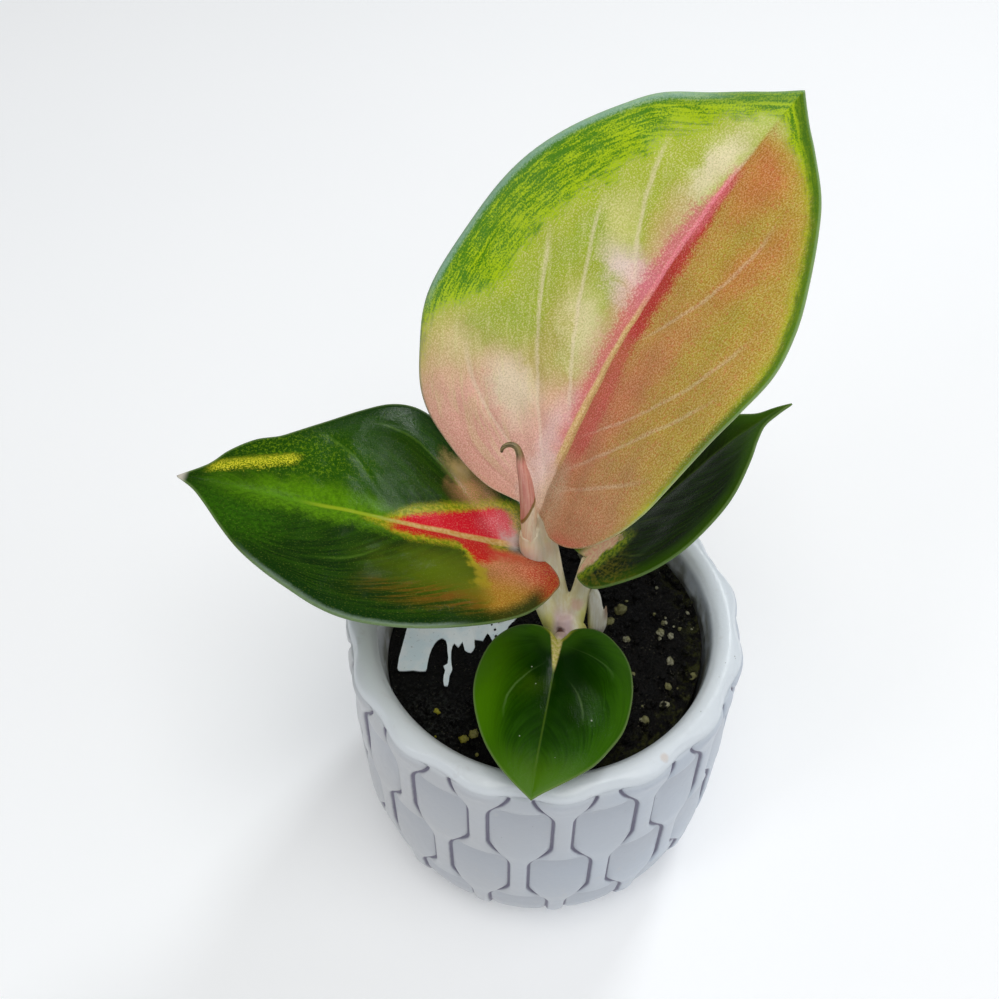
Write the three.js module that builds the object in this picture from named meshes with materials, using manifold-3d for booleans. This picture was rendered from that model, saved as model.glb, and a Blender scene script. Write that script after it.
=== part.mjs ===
// A young red dragon aglaonema in a white relief pot.
// Millimetres, +Z up. The origin is the centre of the pot's flat foot.
// The view that shows the plant best looks along +Y and down.

import * as THREE from 'three';
import { mergeVertices } from 'three/addons/utils/BufferGeometryUtils.js';
import Module from 'manifold-3d';

const wasm = await Module();
wasm.setup();

// driving dimensions

const potHeight = 102;
const floorThickness = 8;
const touchGap = 0.3;          // kept between pieces that touch
const tubeSides = 10;
const thinTubeSides = 8;

// outer wall, from the flat foot up: height, radius
const wallProfile = [
  [0, 41.5], [0.9, 43.6], [2.6, 46.6], [5, 50], [8.5, 53.6], [13, 56.2], [19, 58.2], [27, 59.3], [40, 60],
  [60, 60.2], [80, 60.2], [96, 60], [98.6, 59.7],
];
// rounded rim: height, radius
const rimProfile = [[99.6, 59.5], [101.3, 58.3], [potHeight, 56], [101.3, 53.4]];
// inner wall, from the rim down to the floor: height, radius
const cavityProfile = [[99, 51.4], [91, 50.3], [80, 49.2], [26, 48.4], [14, 45], [floorThickness, 37]];

// relief: alternating upright columns whose shared edges swing to and fro
const columnPairs = 15;
const reliefPhase = -7.6;      // degrees from the front to the middle of a wide top cell
const reliefPitch = 60;        // height of one wide cell and one neck
const reliefStart = 9.4;       // depth below the rim where the top row of cells begins
const edgeSwing = 3.1;         // degrees, each way
const cellRecess = 1.15;
const neckCrown = 0.75;
const grooveDepth = 0.55;
// heights at which the raised wall is sampled, close together where a cell begins
const reliefHeights = [
  1.8, 5, 10, 19, 28.7, 30.5, 32.6, 36.5, 43, 50, 58.7, 60.5, 62.6, 66.5, 73, 80, 88.7, 90.5, 92.6, 96.5,
];

// soil
const soilHigh = 92;           // height at the right
const soilLow = 81.5;          // height of the wet hollow at the left
const clodHeight = 1.5;
const stemHole = { x: 6.6, y: -1, radius: 6.6, bottom: 72 };
const shootHole = { x: 17.2, y: 1.6, radius: 2.9, bottom: 78 };
// larger perlite grains: x, y, radius
const perlite = [
  [24.5, 7.8, 2.1], [20.8, 3.9, 1.3], [25.6, -2.3, 1.1], [36.2, -0.5, 1.3], [39.2, -1.9, 1.1], [38, 3.6, 1],
  [38.4, -10.4, 1.2], [44.6, -15.5, 1.3], [37, -19.4, 1.1], [35.4, -25.8, 1.5], [28.9, -31.4, 1.3],
  [-24.5, -31, 1.3], [-21.5, -29.5, 1.5], [-33, -22, 1.1], [2, -36, 1], [14, 30, 1.6], [-6, 34, 1.4],
  [-30, 20, 1.2],
];

// blades: control points of the midrib; roll, fold and curl at the base and at the tip;
// outline stations along and across the midrib, from the notch at the base to the tip
const bladeThickness = 0.9;
const edgeThickness = 0.62;
const leaves = {
  leaf_big: {
    rib: [[-2.5, 4.5, 145.5], [11.5, 25.5, 180.5], [34, 48, 210], [64, 68, 238]],
    roll: [14, -8], fold: [17, 13], curl: [-4, 1], reach: 44, wave: 0.9, keel: 2.2, spans: 23, bars: 6,
    left: [[0, 0], [0.4, -4], [0.2, -10], [0, -17.5], [1.7, -25.1], [6.1, -35.3], [11.1, -43.5], [16.5, -48],
      [26.8, -51.6], [38.5, -54.8], [51.6, -55.5], [65.3, -54], [77.1, -50.3], [91, -43.2], [102.3, -35.5],
      [109.5, -29.3], [117, -18.2], [121.6, -12], [126.9, -5], [131.3, 0]],
    right: [[0, 0], [-0.6, 4], [-2.2, 9.5], [0, 20.6], [5.6, 31.8], [13.4, 39.8], [21.1, 43.9], [32.3, 46.6],
      [45.2, 49.2], [55.2, 50.9], [66, 51], [78.9, 46.4], [90.9, 39.8], [102.7, 32.2], [110.9, 25.6],
      [120.1, 14.6], [124.6, 8.4], [128.7, 3.2], [131.3, 0]],
  },
  leaf_left: {
    rib: [[-5.8, 3.6, 130.4], [-34, -3, 148], [-68, 2.5, 154], [-102.5, 9, 156.5]],
    roll: [-11, 7], fold: [8, 7], curl: [0, 1.5], reach: 34, wave: 0.6, keel: 1.7, spans: 18, bars: 5,
    left: [[0, 0], [-1.6, -2.6], [-5.2, -5], [-6.6, -9.5], [-5.6, -14], [-1.7, -18.3], [8.9, -28.6],
      [21.7, -36], [32.5, -39.2], [48.4, -38.3], [56, -35.8], [64.2, -31], [70.8, -26.6], [78.8, -20.3], [85.9, -13.4],
      [91.5, -7.6], [96.5, -3.1], [102, 0]],
    right: [[0, 0], [-1, 3], [-2.6, 8], [-0.6, 17.2], [8, 27.5], [18, 35], [28, 40], [38, 42.1], [48, 40.6],
      [57, 35.8], [67.6, 27.6], [74, 22.4], [78.2, 19.2], [84.3, 16.2], [90.5, 10.8], [94.5, 5.6], [102, 0]],
  },
  leaf_right: {
    rib: [[11.6, 2.8, 127.6], [31, 8, 141], [46, 20, 158], [66.5, 23.5, 170]],
    roll: [14, 16], fold: [8, 9], curl: [2, 2], reach: 25, wave: 0.5, keel: 1.4, spans: 15, bars: 4,
    left: [[0, 0], [-1.2, -2], [-2.6, -5.5], [-1.4, -10], [3, -14.5], [9, -18.5], [17.5, -21.6], [27.4, -23],
      [36, -22], [45.5, -18], [54, -11.8], [59.5, -6.2], [63.5, -2.9], [68, -1.5], [72.6, 0]],
    right: [[0, 0], [-2.3, 1.8], [-4.1, 4.6], [-3.6, 8.7], [-0.7, 13.4], [8.4, 18.2], [17.5, 21.6],
      [27.4, 23.8], [36, 22.9], [46.6, 19], [55.3, 12.4], [60, 6.6], [63.6, 2.7], [68, 1.3], [72.6, 0]],
  },
  leaf_front: {
    rib: [[3.5, -15.5, 111], [1.6, -32, 115], [-2.4, -48.5, 114.3], [-5.4, -64.6, 110]],
    roll: [0, 0], fold: [6, 6], curl: [2.7, 3.6], reach: 17, wave: 0.2, keel: 1.3, spans: 15, bars: 4,
    left: [[0, 0], [-2.6, -1.9], [-5.2, -3.6], [-6.9, -8.6], [-5.8, -13.4], [-1, -18.3], [4, -21.2],
      [11.1, -22.6], [18, -22.7], [25.3, -21.6], [31.7, -18.9], [37.3, -15.5], [41, -11.9], [45.1, -6.9],
      [48.4, -2.4], [50.4, 0]],
    right: [[0, 0], [-2.7, 1.8], [-4.9, 3.8], [-6, 8.1], [-4.9, 13.4], [-0.4, 18.4], [5.9, 21.2],
      [13.5, 22.4], [21.7, 21.8], [29, 19.5], [36.4, 15.7], [41.9, 11.2], [46, 6.4], [48.8, 2.4], [50.4, 0]],
  },
};

// stem and leaf stalks: points with a radius each
const stalks = {
  stump: { path: [[6.6, -1, 74.6, 5.9], [6.6, -1, 84, 6.1], [6.6, -1, 93, 6.15], [6.4, -1.3, 99, 5.6],
    [5.6, -0.2, 104, 4]] },
  big: { path: [[6, -0.6, 94, 4.4], [5.2, 0.8, 100, 4.3], [3.4, 3.6, 108, 3.9], [1.8, 5, 118, 3.5],
    [0.2, 5.4, 130, 3.1], [-1.4, 4.9, 140, 2.7], [-2.6, 4.3, 145.6, 2.3]] },
  sheath: { path: [[3.6, 2.4, 101, 3], [0.8, 3.7, 112, 3.6], [-1.8, 3.5, 122, 3.9], [-4, 2.5, 131, 3.7],
    [-5, 1.8, 137, 3.2], [-5.4, 1.6, 141, 2.7]] },
  right: { path: [[7.4, -1.4, 95, 3.9], [9.2, 0.6, 103, 3.4], [10.8, 2.4, 112, 2.9], [11.7, 3, 120, 2.5],
    [11.9, 2.9, 128.5, 2.1]] },
  left: { path: [[4.8, -2.2, 95.4, 3.4], [1.6, -1.6, 103, 2.9], [-1.8, 0.1, 113, 2.6], [-4.6, 2, 124, 2.3],
    [-6, 3.5, 131.5, 2]] },
  front: { path: [[5.6, -3.4, 95, 2.9], [4.9, -6.4, 99.5, 2.4], [4.2, -11, 105, 2.1], [3.6, -14.6, 110, 1.8],
    [3.4, -16.4, 111.6, 1.6]] },
};
const bud = { path: [[8.6, -6.6, 95.5, 1.7], [9, -7.2, 98, 1.3], [9.3, -7.6, 100, 0.35]] };
const nodeRing = { x: 6.8, y: -1.5, z: 95, radius: 6.75, bevel: 0.7, halfHeight: 1.1 };

const spear = {
  path: [[-3.6, 2.8, 128, 1.5], [-5.2, 1.2, 138, 2], [-5.7, 0.9, 147, 2.35], [-6, 0.8, 154, 2.3],
    [-6.9, 2.3, 162, 1.9], [-8, 3.7, 167, 1.35], [-8.5, 4.9, 170, 1], [-9.4, 5.8, 171.8, 0.85],
    [-11.2, 6.3, 172.2, 0.75], [-12.8, 6.3, 171, 0.6], [-13.2, 6.1, 169.6, 0.4]],
};
const shoot = {
  path: [[17.2, 1.6, 79.4, 2.3], [17.2, 1.5, 90, 2.6], [16.8, 1, 98, 2.7], [16, 0.9, 106, 2.4],
    [15.2, 0.9, 112, 1.8], [14.9, 0.9, 116, 0.4]],
};
const scale = {
  path: [[18, 0.8, 93, 1.6], [18.9, 0.4, 99, 1.7], [19.2, 0.8, 103.5, 1.1], [18.9, 1.4, 106.6, 0.3]],
};

// small tools

const rad = THREE.MathUtils.degToRad;
const mix = (a, b, t) => a + (b - a) * t;
const clamp = THREE.MathUtils.clamp;
const smooth = (a, b, x) => THREE.MathUtils.smoothstep(x, a, b);

function seeded(seed) {
  let s = seed >>> 0;
  return () => {
    s = (s * 1664525 + 1013904223) >>> 0;
    return s / 4294967296;
  };
}

function tableAt(table, x) {
  for (let i = 1; i < table.length; i++) {
    const [x0, y0] = table[i - 1], [x1, y1] = table[i];
    if ((x - x0) * (x - x1) <= 0) return mix(y0, y1, (x - x0) / (x1 - x0));
  }
  return table.at(-1)[1];
}

function geometryOf(points, faces) {
  const g = new THREE.BufferGeometry();
  g.setAttribute('position', new THREE.Float32BufferAttribute(points.flatMap((p) => [p.x, p.y, p.z]), 3));
  g.setIndex(faces);
  g.computeVertexNormals();
  return g;
}

// a closed skin over rings of equal length, with one point at each end;
// the rings turn anticlockwise seen from the far end
function closedSkin(rings, start, end) {
  const n = rings[0].length;
  const points = [start, ...rings.flat(), end];
  const at = (i, j) => 1 + i * n + ((j + n) % n);
  const last = points.length - 1;
  const faces = [];
  for (let j = 0; j < n; j++) {
    faces.push(0, at(0, j + 1), at(0, j));
    for (let i = 0; i + 1 < rings.length; i++) {
      faces.push(at(i, j), at(i, j + 1), at(i + 1, j + 1), at(i, j), at(i + 1, j + 1), at(i + 1, j));
    }
    faces.push(last, at(rings.length - 1, j), at(rings.length - 1, j + 1));
  }
  return geometryOf(points, faces);
}

function solid(geometry) {
  let g = geometry.clone();
  for (const name of ['normal', 'uv']) if (g.getAttribute(name)) g.deleteAttribute(name);
  g = mergeVertices(g, 1e-4);
  return new wasm.Manifold(new wasm.Mesh({
    numProp: 3,
    vertProperties: new Float32Array(g.attributes.position.array),
    triVerts: new Uint32Array(g.index.array),
  }));
}

function union(solids) {
  return solids.reduce((a, b) => a.add(b));
}

// the largest body of a cut solid, as a geometry
function mainBody(manifold) {
  const parts = manifold.decompose();
  parts.sort((a, b) => b.volume() - a.volume());
  const mesh = parts[0].getMesh();
  const g = new THREE.BufferGeometry();
  g.setAttribute('position', new THREE.BufferAttribute(new Float32Array(mesh.vertProperties), 3));
  g.setIndex(new THREE.BufferAttribute(new Uint32Array(mesh.triVerts), 1));
  g.computeVertexNormals();
  return g;
}

// a round tube through points with radii, closed to a point at each end
function tube({ path }, sides, grow = 0) {
  const centres = path.map(([x, y, z]) => new THREE.Vector3(x, y, z));
  const curve = new THREE.CatmullRomCurve3(centres, false, 'centripetal');
  const n = path.length - 1;
  const rings = [];
  let side = new THREE.Vector3(1, 0, 0);
  for (let i = 0; i <= n; i++) {
    const t = i / n;
    const p = curve.getPoint(t);
    const along = curve.getTangent(t);
    side = side.clone().addScaledVector(along, -side.dot(along)).normalize();
    const up = along.clone().cross(side);
    const r = path[i][3] + grow;
    rings.push([...Array(sides).keys()].map((j) => {
      const a = (2 * Math.PI * j) / sides;
      return p.clone().addScaledVector(side, r * Math.cos(a)).addScaledVector(up, r * Math.sin(a));
    }));
  }
  const tip = (i, sign) => {
    const t = i / n;
    const r = path[i ? path.length - 1 : 0][3] + grow;
    return curve.getPoint(t).addScaledVector(curve.getTangent(t), sign * (grow + r * 0.35));
  };
  return closedSkin(rings, tip(0, -1), tip(n, 1));
}

// pot

// to and fro between -1 and 1, with quick rounded changes
function swing(depth) {
  const s = clamp(2.5 * Math.sin((Math.PI * (depth - reliefStart)) / (reliefPitch / 2)), -1, 1);
  return 1.5 * s - 0.5 * s ** 3;
}

// outward height of the relief in column j, at x from -1 to 1 across it
function relief(j, x, depth) {
  const shift = j % 2 ? reliefPitch / 2 : 0;
  const cycle = (((depth - reliefStart - shift) / reliefPitch) % 1 + 2) % 1;
  const across = 1 - x * x;
  const neck = neckCrown * (0.35 + 0.65 * across);
  const cell = mix(-cellRecess, neckCrown * 0.45, Math.pow(clamp(cycle * 2, 0, 1), 1.15)) - 0.35 * across;
  const lip = smooth(0, 0.035, cycle);
  const foot = smooth(0.44, 0.56, cycle);
  const body = cycle < 0.5 ? mix(neck, mix(cell, neck, foot), lip) : mix(cell, neck, foot);
  return body - grooveDepth * smooth(0.8, 1, Math.abs(x));
}

// how much of the relief stands at a height: it fades out to the rim and the foot
function reliefFade(z) {
  const wall = smooth(0, 9, z) * (1 - smooth(potHeight - 4.6, potHeight - 1.2, z));
  const foot = 0.35 * smooth(0.5, 2, z) * (1 - smooth(2, 9, z));
  return wall + foot;
}

function potGeometry() {
  const across = [-1, -0.82, 0, 0.82];
  const around = [];
  for (let j = 0; j < 2 * columnPairs; j++) for (const x of across) around.push([j, x]);
  const ring = (z, r, raised) => around.map(([j, x]) => {
    const depth = potHeight - z;
    const half = 180 / (2 * columnPairs) + (j % 2 ? -1 : 1) * edgeSwing * swing(depth) * (raised ? 1 : 0);
    const a = rad(reliefPhase + (j * 360) / (2 * columnPairs) + x * half);
    const out = r + (raised ? relief(j, x, depth) * reliefFade(z) : 0);
    return new THREE.Vector3(out * Math.sin(a), -out * Math.cos(a), z);
  });
  const rings = [ring(0, wallProfile[0][1], false)];
  for (const z of reliefHeights) rings.push(ring(z, tableAt(wallProfile, z), true));
  for (const [z, r] of [...rimProfile, ...cavityProfile]) rings.push(ring(z, r, false));
  return closedSkin(rings, new THREE.Vector3(0, 0, 0), new THREE.Vector3(0, 0, floorThickness));
}

// soil

const clods = (() => {
  const next = seeded(41);
  return [...Array(90).keys()].map(() => {
    const a = next() * 2 * Math.PI, r = 48 * Math.sqrt(next());
    return [r * Math.cos(a), r * Math.sin(a), 3 + 3.4 * next(), 0.45 + 0.75 * next()];
  });
})();

function soilHeight(x, y) {
  const slope = mix(soilLow, soilHigh, smooth(-30, 12, x + 0.25 * y));
  const wet = (1 - smooth(-24, -14, x)) * smooth(-24, -8, y) * (1 - smooth(12, 26, y));
  let lumps = 0;
  for (const [cx, cy, size, tall] of clods) {
    const d = ((x - cx) ** 2 + (y - cy) ** 2) / (size * size);
    if (d < 4) lumps = Math.max(lumps, tall * Math.exp(-d));
  }
  const clear = smooth(6.5, 10.5, Math.hypot(x - stemHole.x, y - stemHole.y));
  return slope + clodHeight * lumps * (1 - wet) * clear;
}

function soilGeometry() {
  const sides = 48;
  const wallAt = (z) => tableAt(cavityProfile, z) - touchGap - 0.06;
  const circle = (r, height) => [...Array(sides).keys()].map((j) => {
    const a = (2 * Math.PI * j) / sides;
    const x = r * Math.cos(a), y = r * Math.sin(a);
    return new THREE.Vector3(x, y, height(x, y));
  });
  const rings = [];
  const bottom = floorThickness + touchGap;
  rings.push(circle(36.4, () => bottom));
  for (const z of [14.4, 26, 76]) rings.push(circle(wallAt(z) * Math.cos(Math.PI / sides), () => z));
  for (const r of [48.2, 44, 39.6, 35, 30.2, 25.4, 20.4, 15, 8]) rings.push(circle(r, soilHeight));
  const top = soilHeight(0, 0);
  let body = solid(closedSkin(rings, new THREE.Vector3(0, 0, bottom), new THREE.Vector3(0, 0, top)));
  const grains = perlite.map(([x, y, r], i) => {
    const g = new THREE.IcosahedronGeometry(r, 0);
    g.rotateX(i * 1.3);
    g.rotateZ(i * 0.7);
    g.scale(1, 0.85, 0.8);
    g.translate(x, y, soilHeight(x, y) + 0.25 * r);
    return solid(g);
  });
  body = union([body, ...grains]);
  for (const hole of [stemHole, shootHole]) {
    const tall = 120 - hole.bottom;
    const g = new THREE.CylinderGeometry(hole.radius, hole.radius, tall, 28);
    g.rotateX(Math.PI / 2);
    g.translate(hole.x, hole.y, hole.bottom + tall / 2);
    body = body.subtract(solid(g));
  }
  return mainBody(body);
}

// blades

function blade(spec) {
  const rib = new THREE.CubicBezierCurve3(...spec.rib.map((p) => new THREE.Vector3(...p)));
  rib.arcLengthDivisions = 128;
  const length = rib.getLength();
  const chord = rib.v3.clone().sub(rib.v0);
  const level = new THREE.Vector3(chord.y, -chord.x, 0).normalize();

  // the blade's own frame at a distance along the midrib
  function frame(s) {
    const q = clamp(s / length, 0, 1);
    const origin = rib.getPointAt(q);
    const along = rib.getTangentAt(q);
    origin.addScaledVector(along, s - q * length);
    const side = level.clone().addScaledVector(along, -level.dot(along)).normalize();
    const up = side.clone().cross(along);
    const r = rad(mix(...spec.roll, q));
    const across = side.multiplyScalar(Math.cos(r)).addScaledVector(up, Math.sin(r));
    return { q, origin, across, up: across.clone().cross(along) };
  }

  // a point at s along and v across, lifted off the blade by h
  function at(s, v, h) {
    const { q, origin, across, up } = frame(s);
    const f = rad(mix(...spec.fold, q));
    const out = Math.abs(v) / spec.reach;
    const turns = v > 0 ? 2.1 + (s / length) * Math.PI * 4.4 : 3.7 + (s / length) * Math.PI * 5;
    const ripple = spec.wave * out * out * Math.sin(turns);
    const lift = Math.abs(v) * Math.sin(f) - mix(...spec.curl, q) * out * out + ripple + h;
    return origin.addScaledVector(across, v * Math.cos(f)).addScaledVector(up, lift);
  }

  // margin point at a from 0 at the notch to 1 at the tip
  const margins = ['left', 'right'].map((name) => {
    const stations = spec[name].map(([s, v]) => new THREE.Vector3(s, v, 0));
    const curve = new THREE.CatmullRomCurve3(stations, false, 'centripetal');
    curve.arcLengthDivisions = 400;
    return curve;
  });
  return { length, at, margin: (side, a) => margins[side > 0 ? 1 : 0].getPointAt(a) };
}

function bladeGeometry(spec, grow = 0) {
  const { length, at, margin } = blade(spec);
  const { spans, bars } = spec;
  const points = [];
  const faces = [];
  const add = (p) => points.push(p) - 1;
  // row i: columns -bars..bars, top then underside
  const rows = [];
  for (let i = 0; i <= spans; i++) {
    const a = i / spans;
    const anchor = length * Math.pow(a, 1.7);
    const row = [];
    const columns = i === 0 || i === spans ? [0] : [...Array(2 * bars + 1).keys()].map((k) => k - bars);
    for (const k of columns) {
      const t = Math.abs(k) / bars;
      const across = Math.pow(t, 1.25);
      const m = margin(Math.sign(k) || 1, a);
      const s = k === 0 ? anchor : mix(anchor, m.x, Math.pow(across, 1.25));
      const v = k === 0 ? 0 : m.y * across;
      const edge = Math.abs(k) === bars || columns.length === 1;
      const half = (edge ? edgeThickness : bladeThickness) / 2 + grow;
      const keel = k === 0 && !edge ? spec.keel * (1 - 0.85 * (s / length)) * smooth(0, 0.05, a) : 0;
      const push = edge ? grow : 0;
      const outS = columns.length === 1 ? (i === 0 ? -push : push) : 0;
      const outV = columns.length > 1 ? Math.sign(k) * push : 0;
      row.push([add(at(s + outS, v + outV, half)), add(at(s + outS, v + outV, -half - keel))]);
    }
    rows.push(row);
  }
  const quad = (a, b, c, d) => faces.push(a, b, c, a, c, d);
  for (let i = 0; i < spans; i++) {
    const lower = rows[i], upper = rows[i + 1];
    for (let c = 0; c < 2 * bars; c++) {
      const p = lower.length === 1 ? [lower[0], lower[0]] : [lower[c], lower[c + 1]];
      const q = upper.length === 1 ? [upper[0], upper[0]] : [upper[c], upper[c + 1]];
      // the blade runs away from the base, and the columns run from its left to its right
      if (lower.length === 1) {
        faces.push(p[0][0], q[1][0], q[0][0], p[0][1], q[0][1], q[1][1]);
      } else if (upper.length === 1) {
        faces.push(p[0][0], p[1][0], q[0][0], p[0][1], q[0][1], p[1][1]);
      } else if (c < bars) {
        faces.push(p[0][0], p[1][0], q[0][0], p[1][0], q[1][0], q[0][0]);
        faces.push(p[0][1], q[0][1], p[1][1], p[1][1], q[0][1], q[1][1]);
      } else {
        faces.push(p[0][0], p[1][0], q[1][0], p[0][0], q[1][0], q[0][0]);
        faces.push(p[0][1], q[1][1], p[1][1], p[0][1], q[0][1], q[1][1]);
      }
    }
    // rims of the left and right edges
    const [l0, l1] = [lower[0], upper[0]];
    const [r0, r1] = [lower.at(-1), upper.at(-1)];
    quad(l0[0], l1[0], l1[1], l0[1]);
    quad(r0[0], r0[1], r1[1], r1[0]);
  }
  return geometryOf(points, faces);
}

// stem, new leaf and side shoot

// each blade with room round it, which the pieces it touches are cut back from
const bladeClear = Object.values(leaves).flatMap((spec) => {
  const [from, to] = spec.rib.map((p) => new THREE.Vector3(...p));
  const back = from.sub(to).setLength(2 * touchGap);
  const roomy = solid(bladeGeometry(spec, 1.6 * touchGap));
  return [roomy, roomy.translate([back.x, back.y, back.z])];
});

function stemGeometry() {
  const pieces = Object.values(stalks).map((s) => solid(tube(s, tubeSides)));
  pieces.push(solid(tube(bud, 6)));
  const { x, y, z, radius, bevel, halfHeight } = nodeRing;
  const inner = radius - bevel;
  const profile = [[0, -halfHeight], [inner, -halfHeight], [radius, 0], [inner, halfHeight], [0, halfHeight]];
  const ring = new THREE.LatheGeometry(profile.map((p) => new THREE.Vector2(...p)), 16);
  ring.rotateX(Math.PI / 2);
  ring.translate(x, y, z);
  pieces.push(solid(ring));
  let body = union(pieces);
  const spearClear = solid(tube(spear, thinTubeSides, touchGap + 0.1));
  for (const gap of [...bladeClear, spearClear]) body = body.subtract(gap);
  return mainBody(body);
}

function spearGeometry() {
  let body = solid(tube(spear, thinTubeSides));
  for (const gap of bladeClear) body = body.subtract(gap);
  return mainBody(body);
}

function shootGeometry() {
  let body = union([solid(tube(shoot, thinTubeSides)), solid(tube(scale, 6))]);
  for (const gap of bladeClear) body = body.subtract(gap);
  return mainBody(body);
}

// assembly

const looks = {
  pot: ['#d9dde4', 0.35],
  soil: ['#17130f', 0.8],
  stem: ['#e6dfb4', 0.45],
  leaf_big: ['#c98f63', 0.35],
  leaf_left: ['#1f4a12', 0.35],
  leaf_right: ['#1d4413', 0.35],
  leaf_front: ['#2c5f10', 0.35],
  new_leaf: ['#cf8377', 0.45],
  side_shoot: ['#e9e6cf', 0.5],
};

const plantInPot = new THREE.Group();
function place(parent, name, geometry) {
  const [color, roughness] = looks[name];
  const mesh = new THREE.Mesh(geometry, new THREE.MeshStandardMaterial({ color, roughness, metalness: 0 }));
  mesh.name = name;
  parent.add(mesh);
}

place(plantInPot, 'pot', potGeometry());
place(plantInPot, 'soil', soilGeometry());
const plant = new THREE.Group();
place(plant, 'stem', stemGeometry());
for (const [name, spec] of Object.entries(leaves)) place(plant, name, bladeGeometry(spec));
place(plant, 'new_leaf', spearGeometry());
place(plant, 'side_shoot', shootGeometry());
plantInPot.add(plant);

export default plantInPot;
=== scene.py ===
# A young red dragon aglaonema in a white relief pot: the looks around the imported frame.
# Shapes are worked out in millimetres, as on the solids, and go into the meshes in metres.
import math

import bmesh
import bpy
import numpy as np
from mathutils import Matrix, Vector, noise


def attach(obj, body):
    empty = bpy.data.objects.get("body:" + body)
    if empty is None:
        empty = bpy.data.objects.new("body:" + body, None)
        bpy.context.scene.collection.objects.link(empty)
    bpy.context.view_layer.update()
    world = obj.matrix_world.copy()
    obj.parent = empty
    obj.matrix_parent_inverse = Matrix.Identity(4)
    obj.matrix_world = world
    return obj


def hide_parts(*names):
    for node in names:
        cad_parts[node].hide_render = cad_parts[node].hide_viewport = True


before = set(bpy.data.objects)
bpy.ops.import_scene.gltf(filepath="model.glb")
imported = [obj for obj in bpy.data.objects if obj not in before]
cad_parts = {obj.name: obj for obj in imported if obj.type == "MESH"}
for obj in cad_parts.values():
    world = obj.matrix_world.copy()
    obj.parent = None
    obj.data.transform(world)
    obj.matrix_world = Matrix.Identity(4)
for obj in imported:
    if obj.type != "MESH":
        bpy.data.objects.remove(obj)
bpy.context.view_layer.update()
print("frame loaded")

mm = 0.001

# camera, light and floor

camera = {"focal": 42.475, "sensor": 36.0, "place": (-13.73, -204.78, 400.38), "tilt": 40.102}

# each lamp: direction it comes from, degrees from the back towards the right, and above the floor
lamps = {
    "topSoftbox": {"azimuth": 165, "height": 74, "away": 2.4, "size": 1.6, "power": 28.0,
                   "tint": (1.0, 0.99, 0.98)},
    "backWindow": {"azimuth": 34, "height": 46, "away": 1.2, "size": 0.22, "power": 3.4,
                   "tint": (0.93, 0.97, 1.0)},
    "leftPanel": {"azimuth": -126, "height": 34, "away": 1.1, "size": 0.26, "power": 1.2,
                  "tint": (0.93, 0.97, 1.0)},
    "rightPanel": {"azimuth": 110, "height": 30, "away": 1.3, "size": 0.7, "power": 1.8,
                   "tint": (0.92, 0.96, 1.0)},
}
surroundings = {"tint": (0.94, 0.97, 1.0), "strength": 0.3, "exposure": 0.0, "floorSize": 8.0}


def makeCamera():
    data = bpy.data.cameras.new("photoView")
    data.lens = camera["focal"]
    data.sensor_width = camera["sensor"]
    data.sensor_fit = "HORIZONTAL"
    data.clip_start = 0.01
    data.clip_end = 50
    obj = bpy.data.objects.new("photoView", data)
    obj.location = [c * mm for c in camera["place"]]
    obj.rotation_euler = (math.radians(camera["tilt"]), 0, 0)
    bpy.context.scene.collection.objects.link(obj)
    bpy.context.scene.camera = obj


def makeLamps():
    aim = Vector((0, 0, 0.11))
    for name, lamp in lamps.items():
        data = bpy.data.lights.new(name, "AREA")
        data.shape = "SQUARE"
        data.size = lamp["size"]
        data.energy = lamp["power"]
        data.color = lamp["tint"]
        obj = bpy.data.objects.new(name, data)
        turn, rise = math.radians(lamp["azimuth"]), math.radians(lamp["height"])
        way = Vector((math.sin(turn) * math.cos(rise), math.cos(turn) * math.cos(rise), math.sin(rise)))
        obj.location = aim + way * lamp["away"]
        obj.rotation_euler = way.to_track_quat("Z", "Y").to_euler()
        bpy.context.scene.collection.objects.link(obj)
    world = bpy.data.worlds.new("studio")
    world.use_nodes = True
    backdrop = world.node_tree.nodes["Background"]
    backdrop.inputs["Color"].default_value = (*surroundings["tint"], 1)
    backdrop.inputs["Strength"].default_value = surroundings["strength"]
    bpy.context.scene.world = world
    bpy.context.scene.view_settings.view_transform = "Standard"
    bpy.context.scene.view_settings.look = "None"
    bpy.context.scene.view_settings.exposure = surroundings["exposure"]


# shader tools


def tint(red, green, blue):
    linear = []
    for c in (red / 255, green / 255, blue / 255):
        linear.append(c / 12.92 if c <= 0.04045 else ((c + 0.055) / 1.055) ** 2.4)
    return (*linear, 1.0)


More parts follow.
